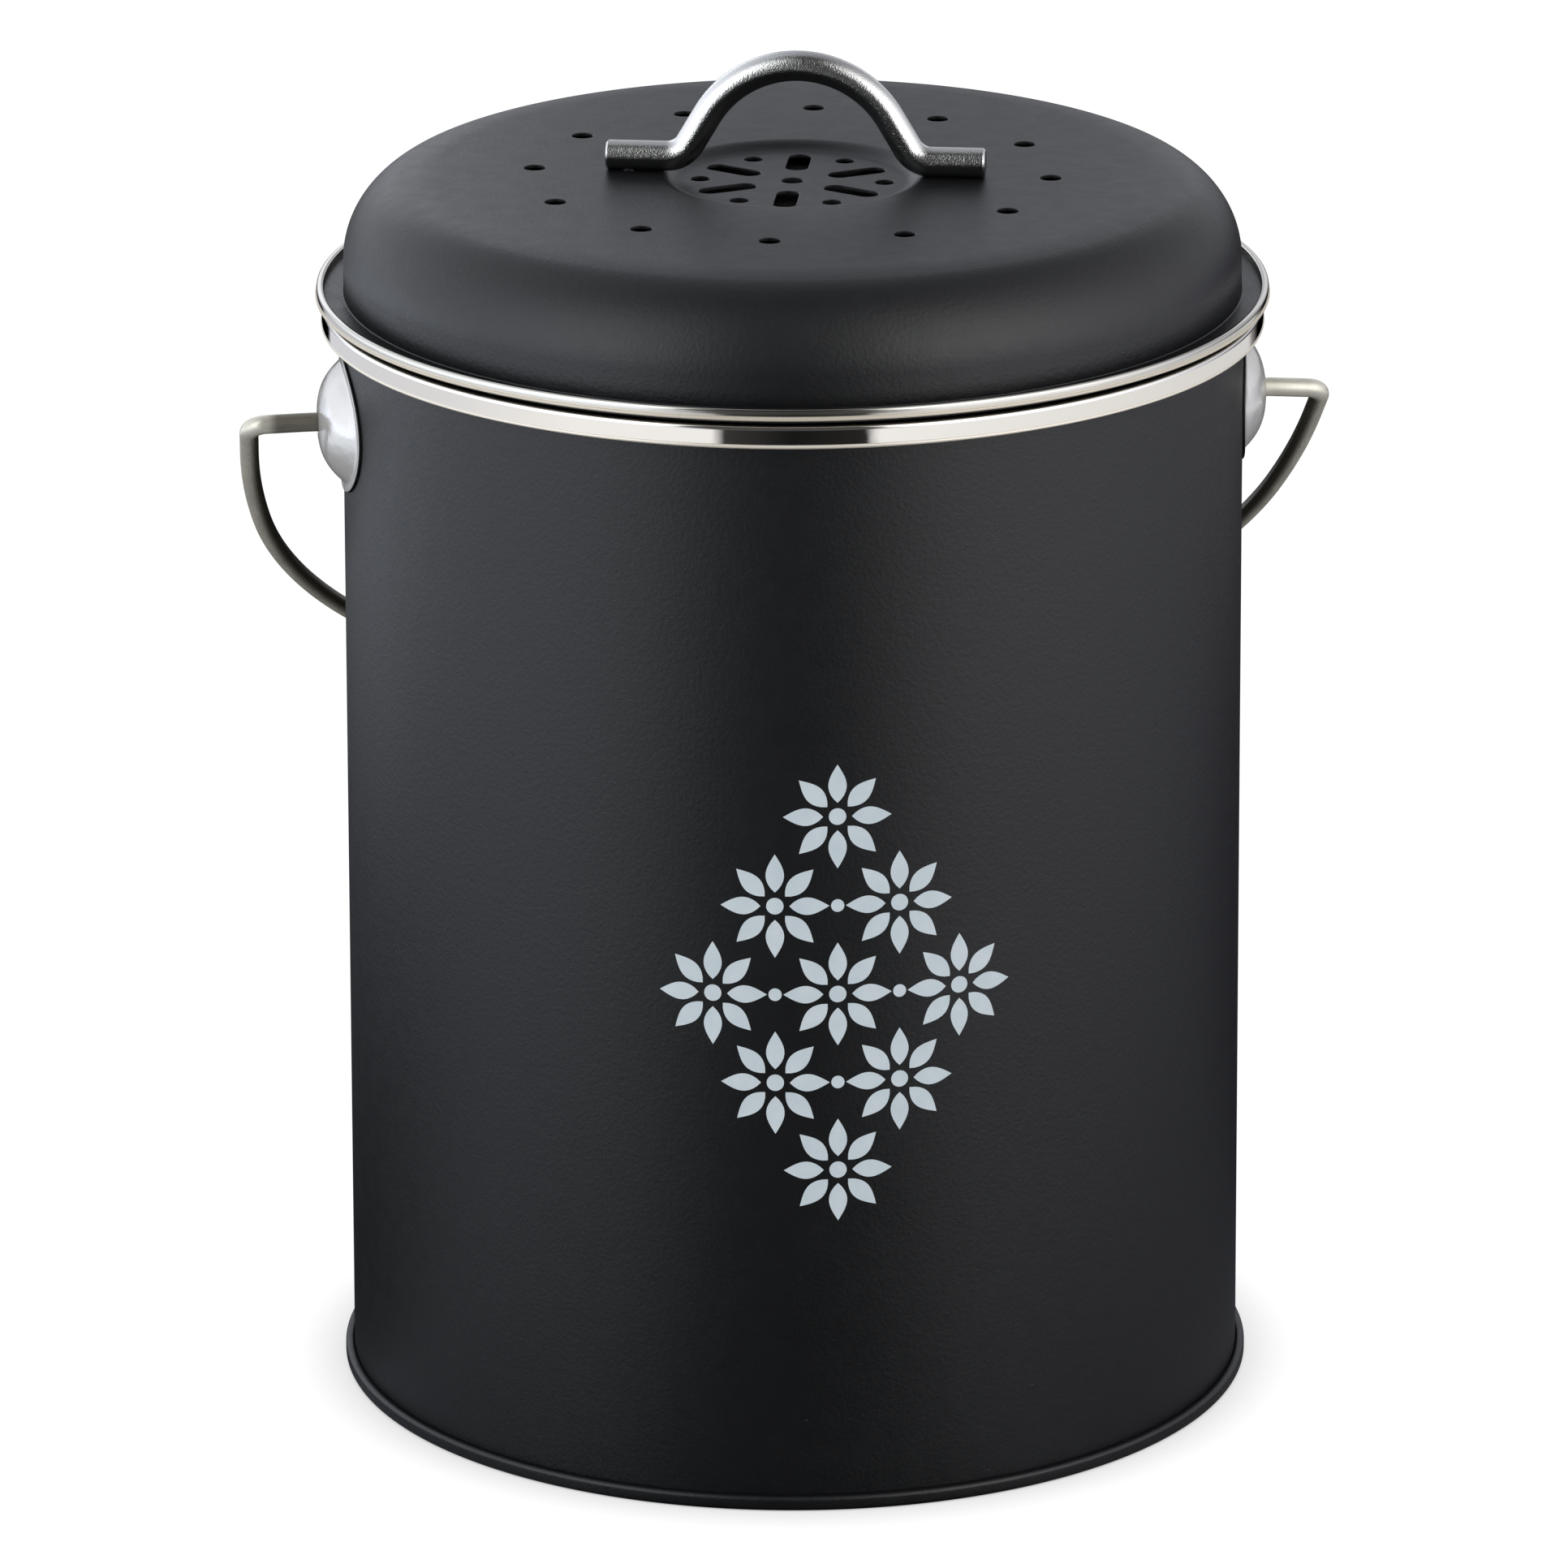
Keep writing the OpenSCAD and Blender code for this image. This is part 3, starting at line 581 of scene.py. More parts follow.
# %% Turn the lid's blank
DISH_R, DISH_FLOOR_R, DISH_DEEP = 26.7, 22.1, 1.6
SLOW_R, SLOW_END, TOP_R, SIDE_R, SPLIT, FILLET = 40.0, 80.0, 10.64, 17.4, 58.0, 0.3
FLANGE_R = 94.35
half_run, half_drop = (DISH_R - DISH_FLOOR_R) / 2, DISH_DEEP / 2
dish_arc = (half_run ** 2 + half_drop ** 2) / (2 * half_drop)
dish_angle = degrees(asin(half_run / dish_arc))
side_x = LID_WALL_R - SIDE_R
top_x = side_x + (SIDE_R - TOP_R) * cos(radians(SPLIT))
slow_x = top_x - (SLOW_R - TOP_R) * cos(radians(SLOW_END))
slow_z = CROWN_Z - SLOW_R
top_z = slow_z + (SLOW_R - TOP_R) * sin(radians(SLOW_END))
side_z = top_z - (SIDE_R - TOP_R) * sin(radians(SPLIT))
dish_z = CROWN_Z - DISH_DEEP


def lid_face(inset):
    """The lid's face from the middle of the dish out to the flange."""
    return ([(0, dish_z - inset)]
            + arc(DISH_FLOOR_R, dish_z + dish_arc, dish_arc + inset, -90, -90 + dish_angle, 8)
            + arc(DISH_R, CROWN_Z - dish_arc, dish_arc - inset, 90 + dish_angle, 90, 8)
            + arc(slow_x, slow_z, SLOW_R - inset, 90, SLOW_END, 6)
            + arc(top_x, top_z, TOP_R - inset, SLOW_END, SPLIT, 12)[1:]
            + arc(side_x, side_z, SIDE_R - inset, SPLIT, 0, 24)[1:]
            + arc(LID_WALL_R + FILLET, FLANGE_Z + FILLET, FILLET + inset, 180, 270, 8)
            + [(FLANGE_R, FLANGE_Z - inset)])


lid_blank = turn("lid_blank", lid_face(0) + lid_face(SHEET)[::-1], black_coat, 240)

# %% [markdown]
# ### The vents
# The press punches all openings in one stroke: one vent in the centre, six small ones and six slots
# in the dish, twelve round the crown, and two holes for the handle's screws. All are cut by the
# same kind of punch, a round one that may be stretched into a slot, so a Geometry Nodes tree sets
# one punch on every place and cuts the sheet with them. Each place carries its width, its stretch
# and its turn as attributes. The punch has a small chamfer at the top, because the coat rounds
# every punched edge.

# %% Make the places and the punch
def places(name, rows):
    """Points for the punch, as (x, y, z, width, stretch, turn) in millimetres and degrees."""
    mesh = flat_mesh(name, [row[:3] for row in rows])
    for column, label, unit in ((3, "width", MM), (4, "stretch", MM), (5, "turn", radians(1))):
        note(mesh, label, [row[column] * unit for row in rows])
    return mesh


def punch(name, width, deep, chamfer, sides=32, over=0.3):
    """A round punch of 1 m diameter with a chamfer at its top, to be scaled to its width."""
    rings = [(-deep, 0.5), (-chamfer, 0.5), (over, 0.5 + (over + chamfer) / width)]
    points = [(r * cos(tau * i / sides), r * sin(tau * i / sides), z * MM)
              for z, r in rings for i in range(sides)]
    faces = [(k * sides + i, k * sides + (i + 1) % sides,
              (k + 1) * sides + (i + 1) % sides, (k + 1) * sides + i)
             for k in range(len(rings) - 1) for i in range(sides)]
    faces.append(tuple(reversed(range(sides))))
    faces.append(tuple(range((len(rings) - 1) * sides, len(rings) * sides)))
    mesh = bpy.data.meshes.new(name)
    mesh.from_pydata(points, [], faces)
    return bpy.data.objects.new(name, mesh)


def round_place(radius, angle, z, width, stretch=0.0):
    """A place on a circle round the axis, counted from the handle's own direction."""
    return (*swing(radius, 0, angle + LID_TURN), z, width, stretch, angle + LID_TURN)


VENT_D, DISH_VENT_D, SCREW_D, SLOT_D, SLOT_L = 4.3, 3.8, 2.7, 4.6, 7.6
CROWN_VENTS_R, DISH_VENTS_R, SLOTS_R = 51.5, 18.4, 14.2
vent_rows = [round_place(0, 0, dish_z, VENT_D)]
vent_rows += [round_place(DISH_VENTS_R, 60 * i, dish_z, DISH_VENT_D) for i in range(6)]
vent_rows += [round_place(CROWN_VENTS_R, 30 * i, CROWN_Z, VENT_D) for i in range(12)]
vent_rows += [round_place(SCREW_X, 180 * i, CROWN_Z, SCREW_D) for i in range(2)]
vent_rows += [round_place(SLOTS_R, 60 * i + 30, dish_z, SLOT_D, SLOT_L) for i in range(6)]
print(len(vent_rows), "openings in the lid")

# %% Tree: punch a sheet
press = shape_group("punch_sheet", {"Sheet": "Object", "Punch": "Object"})


def carried(group, label, kind="FLOAT"):
    """What the points carry under a name."""
    return group.get("InputNamedAttribute", {"Name": label}, data_type=kind)


tool = press.add("ObjectInfo", {"Object": press.given["Punch"]})
tool_x = press.split(press.get("InputPosition"))["X"]
flank = press.calc("MULTIPLY", press.calc("SIGN", tool_x),
                   press.calc("GREATER_THAN", press.calc("ABSOLUTE", tool_x), 0.001))
marked = press.get("StoreNamedAttribute",
                   {"Geometry": tool.outputs["Geometry"], "Name": "flank", "Value": flank})
width, turned_by = carried(press, "width"), carried(press, "turn")
heading = press.get("FunctionNodeAxisAngleToRotation", {"Axis": (0, 0, 1), "Angle": turned_by})
punches = press.get("InstanceOnPoints",
                    {"Points": press.given["Geometry"], "Instance": marked, "Rotation": heading,
                     "Scale": press.join(width, width, 1.0)})
real = press.get("RealizeInstances", {"Geometry": punches})
half = press.calc("MULTIPLY", press.calc("MULTIPLY", carried(press, "stretch"), 0.5),
                  carried(press, "flank"))
shift = press.join(press.calc("MULTIPLY", half, press.calc("COSINE", turned_by)),
                   press.calc("MULTIPLY", half, press.calc("SINE", turned_by)))
slots = press.get("SetPosition", {"Geometry": real, "Offset": shift})
blank = press.add("ObjectInfo", {"Object": press.given["Sheet"]})
punch_tree = close_crisp(press, press.get(
    "MeshBoolean", {"Mesh 1": blank.outputs["Geometry"], "Mesh 2": slots},
    operation="DIFFERENCE", solver="EXACT"))

# %% Punch the lid
lid_punch = punch("lid_punch", 4.0, 1.0, 0.15)
lid_face_piece = outwards(grow("lid_face", places("lid_vents", vent_rows), punch_tree,
                               {"Sheet": lid_blank, "Punch": lid_punch, "Material": black_coat}))
bpy.data.objects.remove(lid_blank)
settle(lid_face_piece, "lid", "black_coat", "lid_shell")

# %% [markdown]
# ### The lid's trims
# A polished bead grips the flange's edge, a skirt under the lid centres it in the pail, and a soft
# ring sits between the flange and the collar.

# %% Turn the bead, the skirt and the seal
BEAD_IN, BEAD_LOW, BEAD_TOP, BEAD_ROUND, BEAD_HEM = BEAD_R - 1.7, 225.2, 227.45, 0.6, 0.35
face_x, hem_top = BEAD_R - 0.25, BEAD_LOW + 2 * BEAD_HEM
bead = turn(
    "bead",
    [(FLANGE_R, FLANGE_Z - SHEET), (FLANGE_R, FLANGE_Z), (BEAD_IN, FLANGE_Z)]
    + arc(BEAD_IN + BEAD_ROUND, BEAD_TOP - BEAD_ROUND, BEAD_ROUND, 180, 90, 8)
    + arc(face_x - BEAD_ROUND, BEAD_TOP - BEAD_ROUND, BEAD_ROUND, 90, 0, 8)
    + [(face_x, hem_top + 0.25), (face_x, hem_top + 0.05)]
    + arc(BEAD_R - BEAD_HEM, BEAD_LOW + BEAD_HEM, BEAD_HEM, 70, -90, 8)
    + arc(BEAD_IN + BEAD_ROUND, BEAD_LOW + BEAD_ROUND, BEAD_ROUND, 270, 220, 5)
    + [(BEAD_IN, FLANGE_Z - SHEET)], bead_steel, 256)
settle(bead, "lid", "polished_steel", "lid_bead")

SKIRT_R, SKIRT_TOP, SKIRT_LOW = 88.9, 231.0, 212.9
skirt_in = SKIRT_R - SHEET
skirt = turn(
    "skirt",
    [(SKIRT_R, SKIRT_TOP), (SKIRT_R, SKIRT_LOW + 2), (SKIRT_R - 0.3, SKIRT_LOW + 1),
     (SKIRT_R - 1, SKIRT_LOW), (skirt_in - 1, SKIRT_LOW), (skirt_in - 0.3, SKIRT_LOW + 1.1),
     (skirt_in, SKIRT_LOW + 2), (skirt_in, SKIRT_TOP)], satin_steel, 192)
settle(skirt, "lid", "polished_steel", "lid_skirt")

SEAL_OUT, SEAL_IN, SEAL_LOW, SEAL_TOP, SEAL_ROUND = 93.0, 90.6, 224.2, 225.4, 0.4
seal = turn("seal", [spot for x, z, start in (
    (SEAL_OUT - SEAL_ROUND, SEAL_TOP - SEAL_ROUND, 90),
    (SEAL_OUT - SEAL_ROUND, SEAL_LOW + SEAL_ROUND, 0),
    (SEAL_IN + SEAL_ROUND, SEAL_LOW + SEAL_ROUND, 270),
    (SEAL_IN + SEAL_ROUND, SEAL_TOP - SEAL_ROUND, 180))
    for spot in arc(x, z, SEAL_ROUND, start, start - 90, 4)], silicone, 192)
settle(seal, "lid", "silicone", "lid_seal")

# %% [markdown]
# ## Bars that follow a path
# The lid's handle and the bail are round bars bent in a jig. A Geometry Nodes tree sweeps a circle
# along a chain of points. The chain's *girth* makes the chamfer at a cut end, and the tree stores
# the *bar* coordinates that the drawn wire's finish reads.

# %% Tree: bar along a path
rod = shape_group("bar_along_path", {"Radius": 0.002, "Sides": 40})


def stored(group, geometry, label, value, kind="FLOAT"):
    """Geometry with a value stored on its points."""
    return group.get("StoreNamedAttribute",
                     {"Geometry": geometry, "Name": label, "Value": value}, data_type=kind)


path = rod.get("MeshToCurve", {0: rod.given["Geometry"]})
measured = stored(rod, path, "run", rod.add("SplineParameter").outputs["Length"])
ring = rod.get("CurvePrimitiveCircle",
               {"Resolution": rod.given["Sides"], "Radius": rod.given["Radius"]})
across = stored(rod, ring, "ring", rod.get("InputPosition"), "FLOAT_VECTOR")
swept = rod.get("CurveToMesh", {"Curve": measured, "Profile Curve": across,
                                "Scale": carried(rod, "girth"), "Fill Caps": True})
ring_at = rod.split(carried(rod, "ring", "FLOAT_VECTOR"))
bar_at = rod.join(ring_at["X"], ring_at["Y"], carried(rod, "run"))
bar_tree = close_crisp(rod, stored(rod, swept, "bar", bar_at, "FLOAT_VECTOR"))


def bar(name, points, girths, radius, finish, sides=40):
    """Sweep a round bar along points, in millimetres, with a girth of 1 for the full radius."""
    mesh = chain(name, points)
    note(mesh, "girth", girths)
    return grow(name, mesh, bar_tree, {"Radius": radius * MM, "Sides": sides, "Material": finish})

# %% [markdown]
# ### The lid's handle
# A chromed rod with two flat feet, two slopes and one arch. Half of the arch is written from the
# middle outwards and mirrored. Bent in a hand jig, it came out a little off the rod's middle. The
# cut ends are square with a small chamfer, and each foot is ground flat where it stands on the lid.

# %% Bend the handle
ROD_R, RISE, ARCH_R, FOOT_BEND_R, SLOPE, HANDLE_L = 3.02, 19.03, 21.2, 5.4, 59.5, 75.6
FOOT_FLAT, CHAMFER, SHIFT, ARCH_SHIFT, HANDLE_TURN = 0.15, 0.4, 0.7, 0.6, LID_TURN - 0.8
foot_y, end_x = ROD_R - FOOT_FLAT, HANDLE_L / 2
slope = radians(SLOPE)
slope_l = (RISE - (ARCH_R + FOOT_BEND_R) * (1 - cos(slope))) / sin(slope)
foot_x = ARCH_R * sin(slope) + slope_l * cos(slope) + FOOT_BEND_R * sin(slope)
half_arch = (arc(0, foot_y + RISE - ARCH_R, ARCH_R, 90, 90 - SLOPE, 28)
             + arc(foot_x, foot_y + FOOT_BEND_R, FOOT_BEND_R, 270 - SLOPE, 270, 16))
full_path = ([(SHIFT - end_x, foot_y), (SHIFT - end_x + CHAMFER, foot_y)]
             + [(SHIFT + ARCH_SHIFT - x, z) for x, z in half_arch[:0:-1]]
             + [(SHIFT + ARCH_SHIFT + x, z) for x, z in half_arch]
             + [(SHIFT + end_x - CHAMFER, foot_y), (SHIFT + end_x, foot_y)])
chamfered = 1 - CHAMFER / ROD_R
handle = bar("handle", [(x, 0, z) for x, z in full_path],
             [chamfered] + [1.0] * (len(full_path) - 2) + [chamfered], ROD_R, handle_chrome, 48)
for vertex in handle.data.vertices:
    x, y, z = vertex.co
    vertex.co = (*swing(x, y, HANDLE_TURN), max(z, 0) + CROWN_Z * MM)
settle(outwards(handle), "lid", "chrome_plate", "lid_handle")

# %% [markdown]
# ### The bail
# The bail hangs down behind the pail. It is drawn flat first: a pin through each ear, a tight
# corner, a short straight leg, a long slow bend and then one great arc. Outside the ears the two
# stubs droop a little, because the wire is bent cold by hand. The flat drawing is then turned about
# the ears' axis until the arc rests against the wall.

# %% Bend the bail
WIRE_R, HALF_W, LEG_L, LEAN, LEG_BEND_R, LEG_BEND = 1.9, 108.4, 12.2, 3.0, 200.0, 8.6
LEFT_DROOP, RIGHT_DROOP, PIN_END = 2.5, 8.0, 97.8
CORNER_R, EAR_T, DOME_D, DOME_H, HEAD_R, HEAD_T, PLAY = 3.4, 0.6, 24.0, 6.1, 3.4, 1.6, 1.2
BAIL_SHIFT, REST_GAP, HEAD_EDGE, EDGE_GIRTH = -0.7, 0.3, 0.3, 0.93
dome_r = (DOME_D ** 2 / 4 + DOME_H ** 2) / (2 * DOME_H)
head_x = WALL_R + DOME_H - dome_r - PLAY + sqrt((dome_r - EAR_T) ** 2 - HEAD_R ** 2)
lean, grip_a = radians(LEAN), radians(LEAN + LEG_BEND)
leg_x, leg_y = HALF_W - LEG_L * sin(lean), LEG_L * cos(lean)
bend_cx, bend_cy = leg_x - LEG_BEND_R * cos(lean), leg_y - LEG_BEND_R * sin(lean)
grip_r = (bend_cx + LEG_BEND_R * cos(grip_a)) / cos(grip_a)
grip_cy = bend_cy + LEG_BEND_R * sin(grip_a) - grip_r * sin(grip_a)
hang = asin((WALL_R + REST_GAP + WIRE_R) / (grip_cy + grip_r))


def half_wire(droop):
    """Half of the flat drawing, from the pin's head to the grip's middle, as (across, down)."""
    sag = radians(droop)
    drop = (HALF_W - PIN_END) / (cos(lean) / tan(sag) + sin(lean))
    tangent = CORNER_R * tan(radians(90 + LEAN - droop) / 2)
    turn_x = HALF_W - drop * sin(lean) - tangent * cos(sag) - CORNER_R * sin(sag)
    turn_y = drop * cos(lean) - tangent * sin(sag) + CORNER_R * cos(sag)
    pin = (head_x - HEAD_T, head_x - HEAD_T + HEAD_EDGE, head_x - HEAD_EDGE, head_x,
           head_x + 0.05, PIN_END - 0.5)
    return ([(x, 0) for x in pin]
            + arc(turn_x, turn_y, CORNER_R, droop - 90, LEAN, 14)
            + arc(bend_cx, bend_cy, LEG_BEND_R, LEAN, LEAN + LEG_BEND, 12)
            + arc(0, grip_cy, grip_r, LEAN + LEG_BEND, 90, 60)[1:])


half_bail = half_wire(RIGHT_DROOP)
fat = HEAD_R / WIRE_R
half_girth = [fat * EDGE_GIRTH, fat, fat, fat * EDGE_GIRTH] + [1.0] * (len(half_bail) - 4)
flat_bail = half_bail + [(-x, y) for x, y in half_wire(LEFT_DROOP)[-2::-1]]
bail = bar("bail_wire",
           [(x + BAIL_SHIFT, y * sin(hang), EAR_Z - y * cos(hang))
            for x, y in flat_bail], half_girth + half_girth[-2::-1], WIRE_R, drawn_wire, 32)
settle(outwards(bail), "bail", "drawn_wire", "bail")
print("the bail hangs", round(degrees(hang), 1), "degrees off plumb")

# %% [markdown]
# ## The ears
# Each ear is a pressed cup: a wide oval dome with a flat top and sloping sides, and a narrow flange
# that follows the round wall. A power of the distance from the middle, measured in an oval way,
# gives the dome its flat top, and a smooth step rounds the draw into the flange. The skin is built
# as rings round the ear's own axis, out along the front, round the edge and back along the rear, so
# that it is closed and has its real thickness. The cut edge gets the black coat as painted shade,
# for the dark gap where the flange's edge meets the wall.

# %% Press the ears
FLANGE_WIDE, FLANGE_TALL, DOME_WIDE, DOME_TALL = 18.4, 13.9, 16.6, 11.9
HOLE_R, EDGE_R, DRAW, FLATNESS, EAR_HIGH, PAINTED_SHADE_RIM = 2.2, 0.3, 0.03, 3.0, 5.4, 0.2


def ear_height(y, z, inset):
    """How far the ear's skin stands from the pail's axis, at one place across and up the ear."""
    flange = sqrt((WALL_R + EAR_T - inset) ** 2 - y * y)
    spread = hypot(y / (DOME_WIDE - inset), z / (DOME_TALL - inset))
    inside = 1 - spread ** FLATNESS
    inside = (inside + sqrt(inside * inside + DRAW * DRAW)) / 2
    return flange + (EAR_HIGH - EAR_T) * inside


def ear_skin(turn_a, along=34):
    """One closed section of the ear, as (x, reach) pairs at an angle round the ear's axis."""
    across, upward = cos(turn_a), sin(turn_a)
    outer = 1 / hypot(across / FLANGE_WIDE, upward / FLANGE_TALL) - EDGE_R
    inner = HOLE_R + EDGE_R
    reaches = [inner + (outer - inner) * i / along for i in range(along + 1)]
    front, rear = ([(ear_height(r * across, r * upward, inset), r) for r in way]
                   for inset, way in ((0, reaches), (EAR_T, reaches[::-1])))

    def rounded(one, other, reach, sign):
        """The half round that joins the front to the rear at a cut edge."""
        return [((one[0] + other[0]) / 2 + sign * EDGE_R * sin(radians(b)),
                 reach + sign * EDGE_R * cos(radians(b))) for b in (60, 30, 0, -30, -60)]

    return (front + rounded(front[-1], rear[0], outer, 1)
            + rear + rounded(front[0], rear[-1], inner, -1))


def press_ear(name, sign, node, steps=96):
    """Build one ear and let it stand for its solid."""
    sections = [ear_skin(tau * i / steps) for i in range(steps)]
    rows = len(sections[0])
    points = []
    for i, section in enumerate(sections):
        a = tau * i / steps
        points += [(sign * x, r * cos(a), EAR_Z + r * sin(a)) for x, r in section]
    faces = [(i * rows + k, i * rows + (k + 1) % rows,
              ((i + 1) % steps) * rows + (k + 1) % rows, ((i + 1) % steps) * rows + k)
             for i in range(steps) for k in range(rows)]
    piece = outwards(grow(name, flat_mesh(name, points, faces=faces), crisp_tree,
                          {"Material": ear_chrome}))
    piece.data.materials.append(black_coat)
    # Painted shade: the faces at the flange's cut edge get the black coat, for the dark gap at the
    # wall.
    for face in piece.data.polygons:
        x, y, z = face.center / MM
        face.material_index = int(hypot(y / (FLANGE_WIDE - PAINTED_SHADE_RIM),
                                        (z - EAR_Z) / (FLANGE_TALL - PAINTED_SHADE_RIM)) > 1)
    return settle(piece, "caddy", "chrome_plate", node)


press_ear("left_ear", -1, "ear_left")
press_ear("right_ear", 1, "ear_right")

# %% [markdown]
# ## The printed ornament
# The front carries a one-colour screen print. Its motif is a plain folk ornament: nine flowers of
# eight petals stand in a diamond, with a dot in every gap. A Geometry Nodes tree bends one petal
# from a small grid, sets it round each centre, wraps everything round the wall and gives the ink
# its thin body.

# %% Tree: printed flowers
ink = shape_group("printed_flowers", {
    "Petals": 8, "Petal start": 0.0028, "Petal length": 0.0078, "Petal width": 0.0036,
    "Heart radius": 0.0017, "Dot radius": 0.0013, "Wall radius": 0.09, "Flare": 0.0,
    "Flare top": 1.0, "Lift": 0.00001, "Ink": 0.00003, "Turn": 0.0})
given = ink.given
strip = ink.get("MeshGrid", {"Size X": 1.0, "Size Y": 1.0, "Vertices X": 11, "Vertices Y": 5})
spot = ink.split(ink.get("InputPosition"))
run = ink.calc("ADD", spot["X"], 0.5)
bulge = ink.calc("SINE", ink.calc("MULTIPLY", pi, ink.calc("POWER", run, 0.85)))
leaf_at = ink.join(
    ink.calc("MULTIPLY_ADD", run, given["Petal length"], given["Petal start"]),
    ink.calc("MULTIPLY", ink.calc("MULTIPLY", spot["Y"], bulge), given["Petal width"]))
petal = ink.get("SetPosition", {"Geometry": strip, "Position": leaf_at})
hub = ink.get("MeshLine", {"Count": given["Petals"], "Offset": (0, 0, 0)})
spread = ink.calc("MULTIPLY", ink.get("InputIndex"), ink.calc("DIVIDE", tau, given["Petals"]))
spokes = ink.get("FunctionNodeAxisAngleToRotation", {"Axis": (0, 0, 1), "Angle": spread})
petals = ink.get("InstanceOnPoints", {"Points": hub, "Instance": petal, "Rotation": spokes})


def disc(radius):
    """A small filled disc."""
    return ink.get("MeshCircle", {"Vertices": 24, "Radius": radius}, fill_type="TRIANGLE_FAN")


def joined(*shapes):
    """Several shapes as one."""
    both = ink.add("JoinGeometry")
    for shape in shapes:
        ink.fill(both.inputs[0], shape)
    return both.outputs[0]


def strewn(shape, chosen):
    """A shape on every chosen point."""
    return ink.get("InstanceOnPoints",
                   {"Points": given["Geometry"], "Selection": chosen, "Instance": shape})


is_flower = ink.calc("GREATER_THAN", carried(ink, "flower"), 0.5)
drawing = joined(strewn(joined(petals, disc(given["Heart radius"])), is_flower),
                 strewn(disc(given["Dot radius"]), ink.calc("SUBTRACT", 1.0, is_flower)))
flat = ink.get("MergeByDistance",
               {"Geometry": ink.get("RealizeInstances", {"Geometry": drawing}),
                "Distance": 0.000002})
spot = ink.split(ink.get("InputPosition"))
round_a = ink.calc("ADD", ink.calc("DIVIDE", spot["X"], given["Wall radius"]), given["Turn"])
below_top = ink.calc("SUBTRACT", 1.0, ink.calc("DIVIDE", spot["Y"], given["Flare top"]))
skin_r = ink.calc("ADD", given["Lift"], ink.calc("MULTIPLY_ADD", given["Flare"], below_top,
                                                 given["Wall radius"]))
to_front = ink.calc("MULTIPLY", ink.calc("COSINE", round_a), -1.0)
wrapped_at = ink.join(ink.calc("MULTIPLY", skin_r, ink.calc("SINE", round_a)),
                      ink.calc("MULTIPLY", skin_r, to_front), spot["Y"])
wrapped = ink.get("SetPosition", {"Geometry": flat, "Position": wrapped_at})
print_tree = close_crisp(ink, ink.get(
    "ExtrudeMesh",
    {"Mesh": wrapped, "Offset Scale": given["Ink"], "Individual": False}))

# %% Print the ornament
PRINT_Z, STEP_X, STEP_Z, PRINT_TURN = 107.6, 24.4, 18.2, -1.7
flower_spots, dot_spots = [], []
for row in range(-2, 3):
    gap_count, level = 2 - abs(row), PRINT_Z + row * STEP_Z
    flower_spots += [((k - gap_count / 2) * STEP_X, level, 0) for k in range(gap_count + 1)]
    dot_spots += [(k * STEP_X / 2, level, 0) for k in range(-gap_count, gap_count + 1)
                  if (k + row) % 2]
spots = flat_mesh("print_spots", flower_spots + dot_spots)
note(spots, "flower", [1.0] * len(flower_spots))
ornament = grow("ornament", spots, print_tree,
                {"Wall radius": WALL_R * MM, "Flare": FLARE * MM, "Flare top": FLARE_TOP * MM,
                 "Turn": radians(PRINT_TURN), "Material": print_ink})
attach(ornament, "caddy")
print(len(flower_spots), "flowers,", len(dot_spots), "dots,", len(ornament.data.polygons), "faces")

# %% [markdown]
# ## Inside the lid
# Under the crown sit the screws, their washers, three clips, and the tray with its charcoal pad.
# The small metal pieces keep their solids and only get a finish. The tray is turned and punched
# like the lid, and the pad gets its soft rim and its slightly uneven faces.

# %% Finish the small metal pieces
# The screws get the near-black finish as painted shade for the gap under the handle's feet.
for name, finish in (("handle_screws", screw_shade_finish), ("handle_washers", satin_steel),
                     ("filter_clips", satin_steel)):
    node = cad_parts[name]
    node.data.materials.clear()
    node.data.materials.append(finish)
    print(name, "keeps its solid")

# %% Turn and punch the tray
TRAY_R, TRAY_IN, TRAY_Z, TRAY_TOP, TRAY_FLOOR = 61.5, 60.0, 236.2, 245.4, 1.2
TRAY_EDGE, TRAY_FOOT, HOLE_D, HOLE_PITCH = 0.3, 0.5, 8.0, 15
floor_z, edge_z = TRAY_Z + TRAY_FLOOR, TRAY_TOP - TRAY_EDGE
tray_blank = turn(
    "tray_blank",
    [(0, TRAY_Z), (TRAY_R - TRAY_FOOT - 0.1, TRAY_Z)]
    + arc(TRAY_R - TRAY_FOOT, TRAY_Z + TRAY_FOOT, TRAY_FOOT, -90, 0, 4)
    + [(TRAY_R, edge_z), (TRAY_R - TRAY_EDGE, TRAY_TOP), (TRAY_IN + TRAY_EDGE, TRAY_TOP),
       (TRAY_IN, edge_z), (TRAY_IN, floor_z), (0, floor_z)], tray_plastic, 144)
hole_rows = [round_place(HOLE_PITCH * (ring_no + 0.4), 60 / ring_no * (i + 0.5), floor_z, HOLE_D)
             for ring_no in (1, 2, 3) for i in range(6 * ring_no)]
tray = grow("tray", places("tray_holes", hole_rows), punch_tree,
            {"Sheet": tray_blank, "Punch": punch("tray_punch", HOLE_D, 1.6, 0.3, 24),
             "Material": tray_plastic})
bpy.data.objects.remove(tray_blank)
print(len(hole_rows), "holes in the tray")

# %% Add the tray's grip and lugs
GRIP_L, GRIP_T, GRIP_H, LUG_R, LUG_IN, LUG_T, LUG_A = 34.0, 3.0, 6.0, 66.1, 0.75, 1.5, 14.0


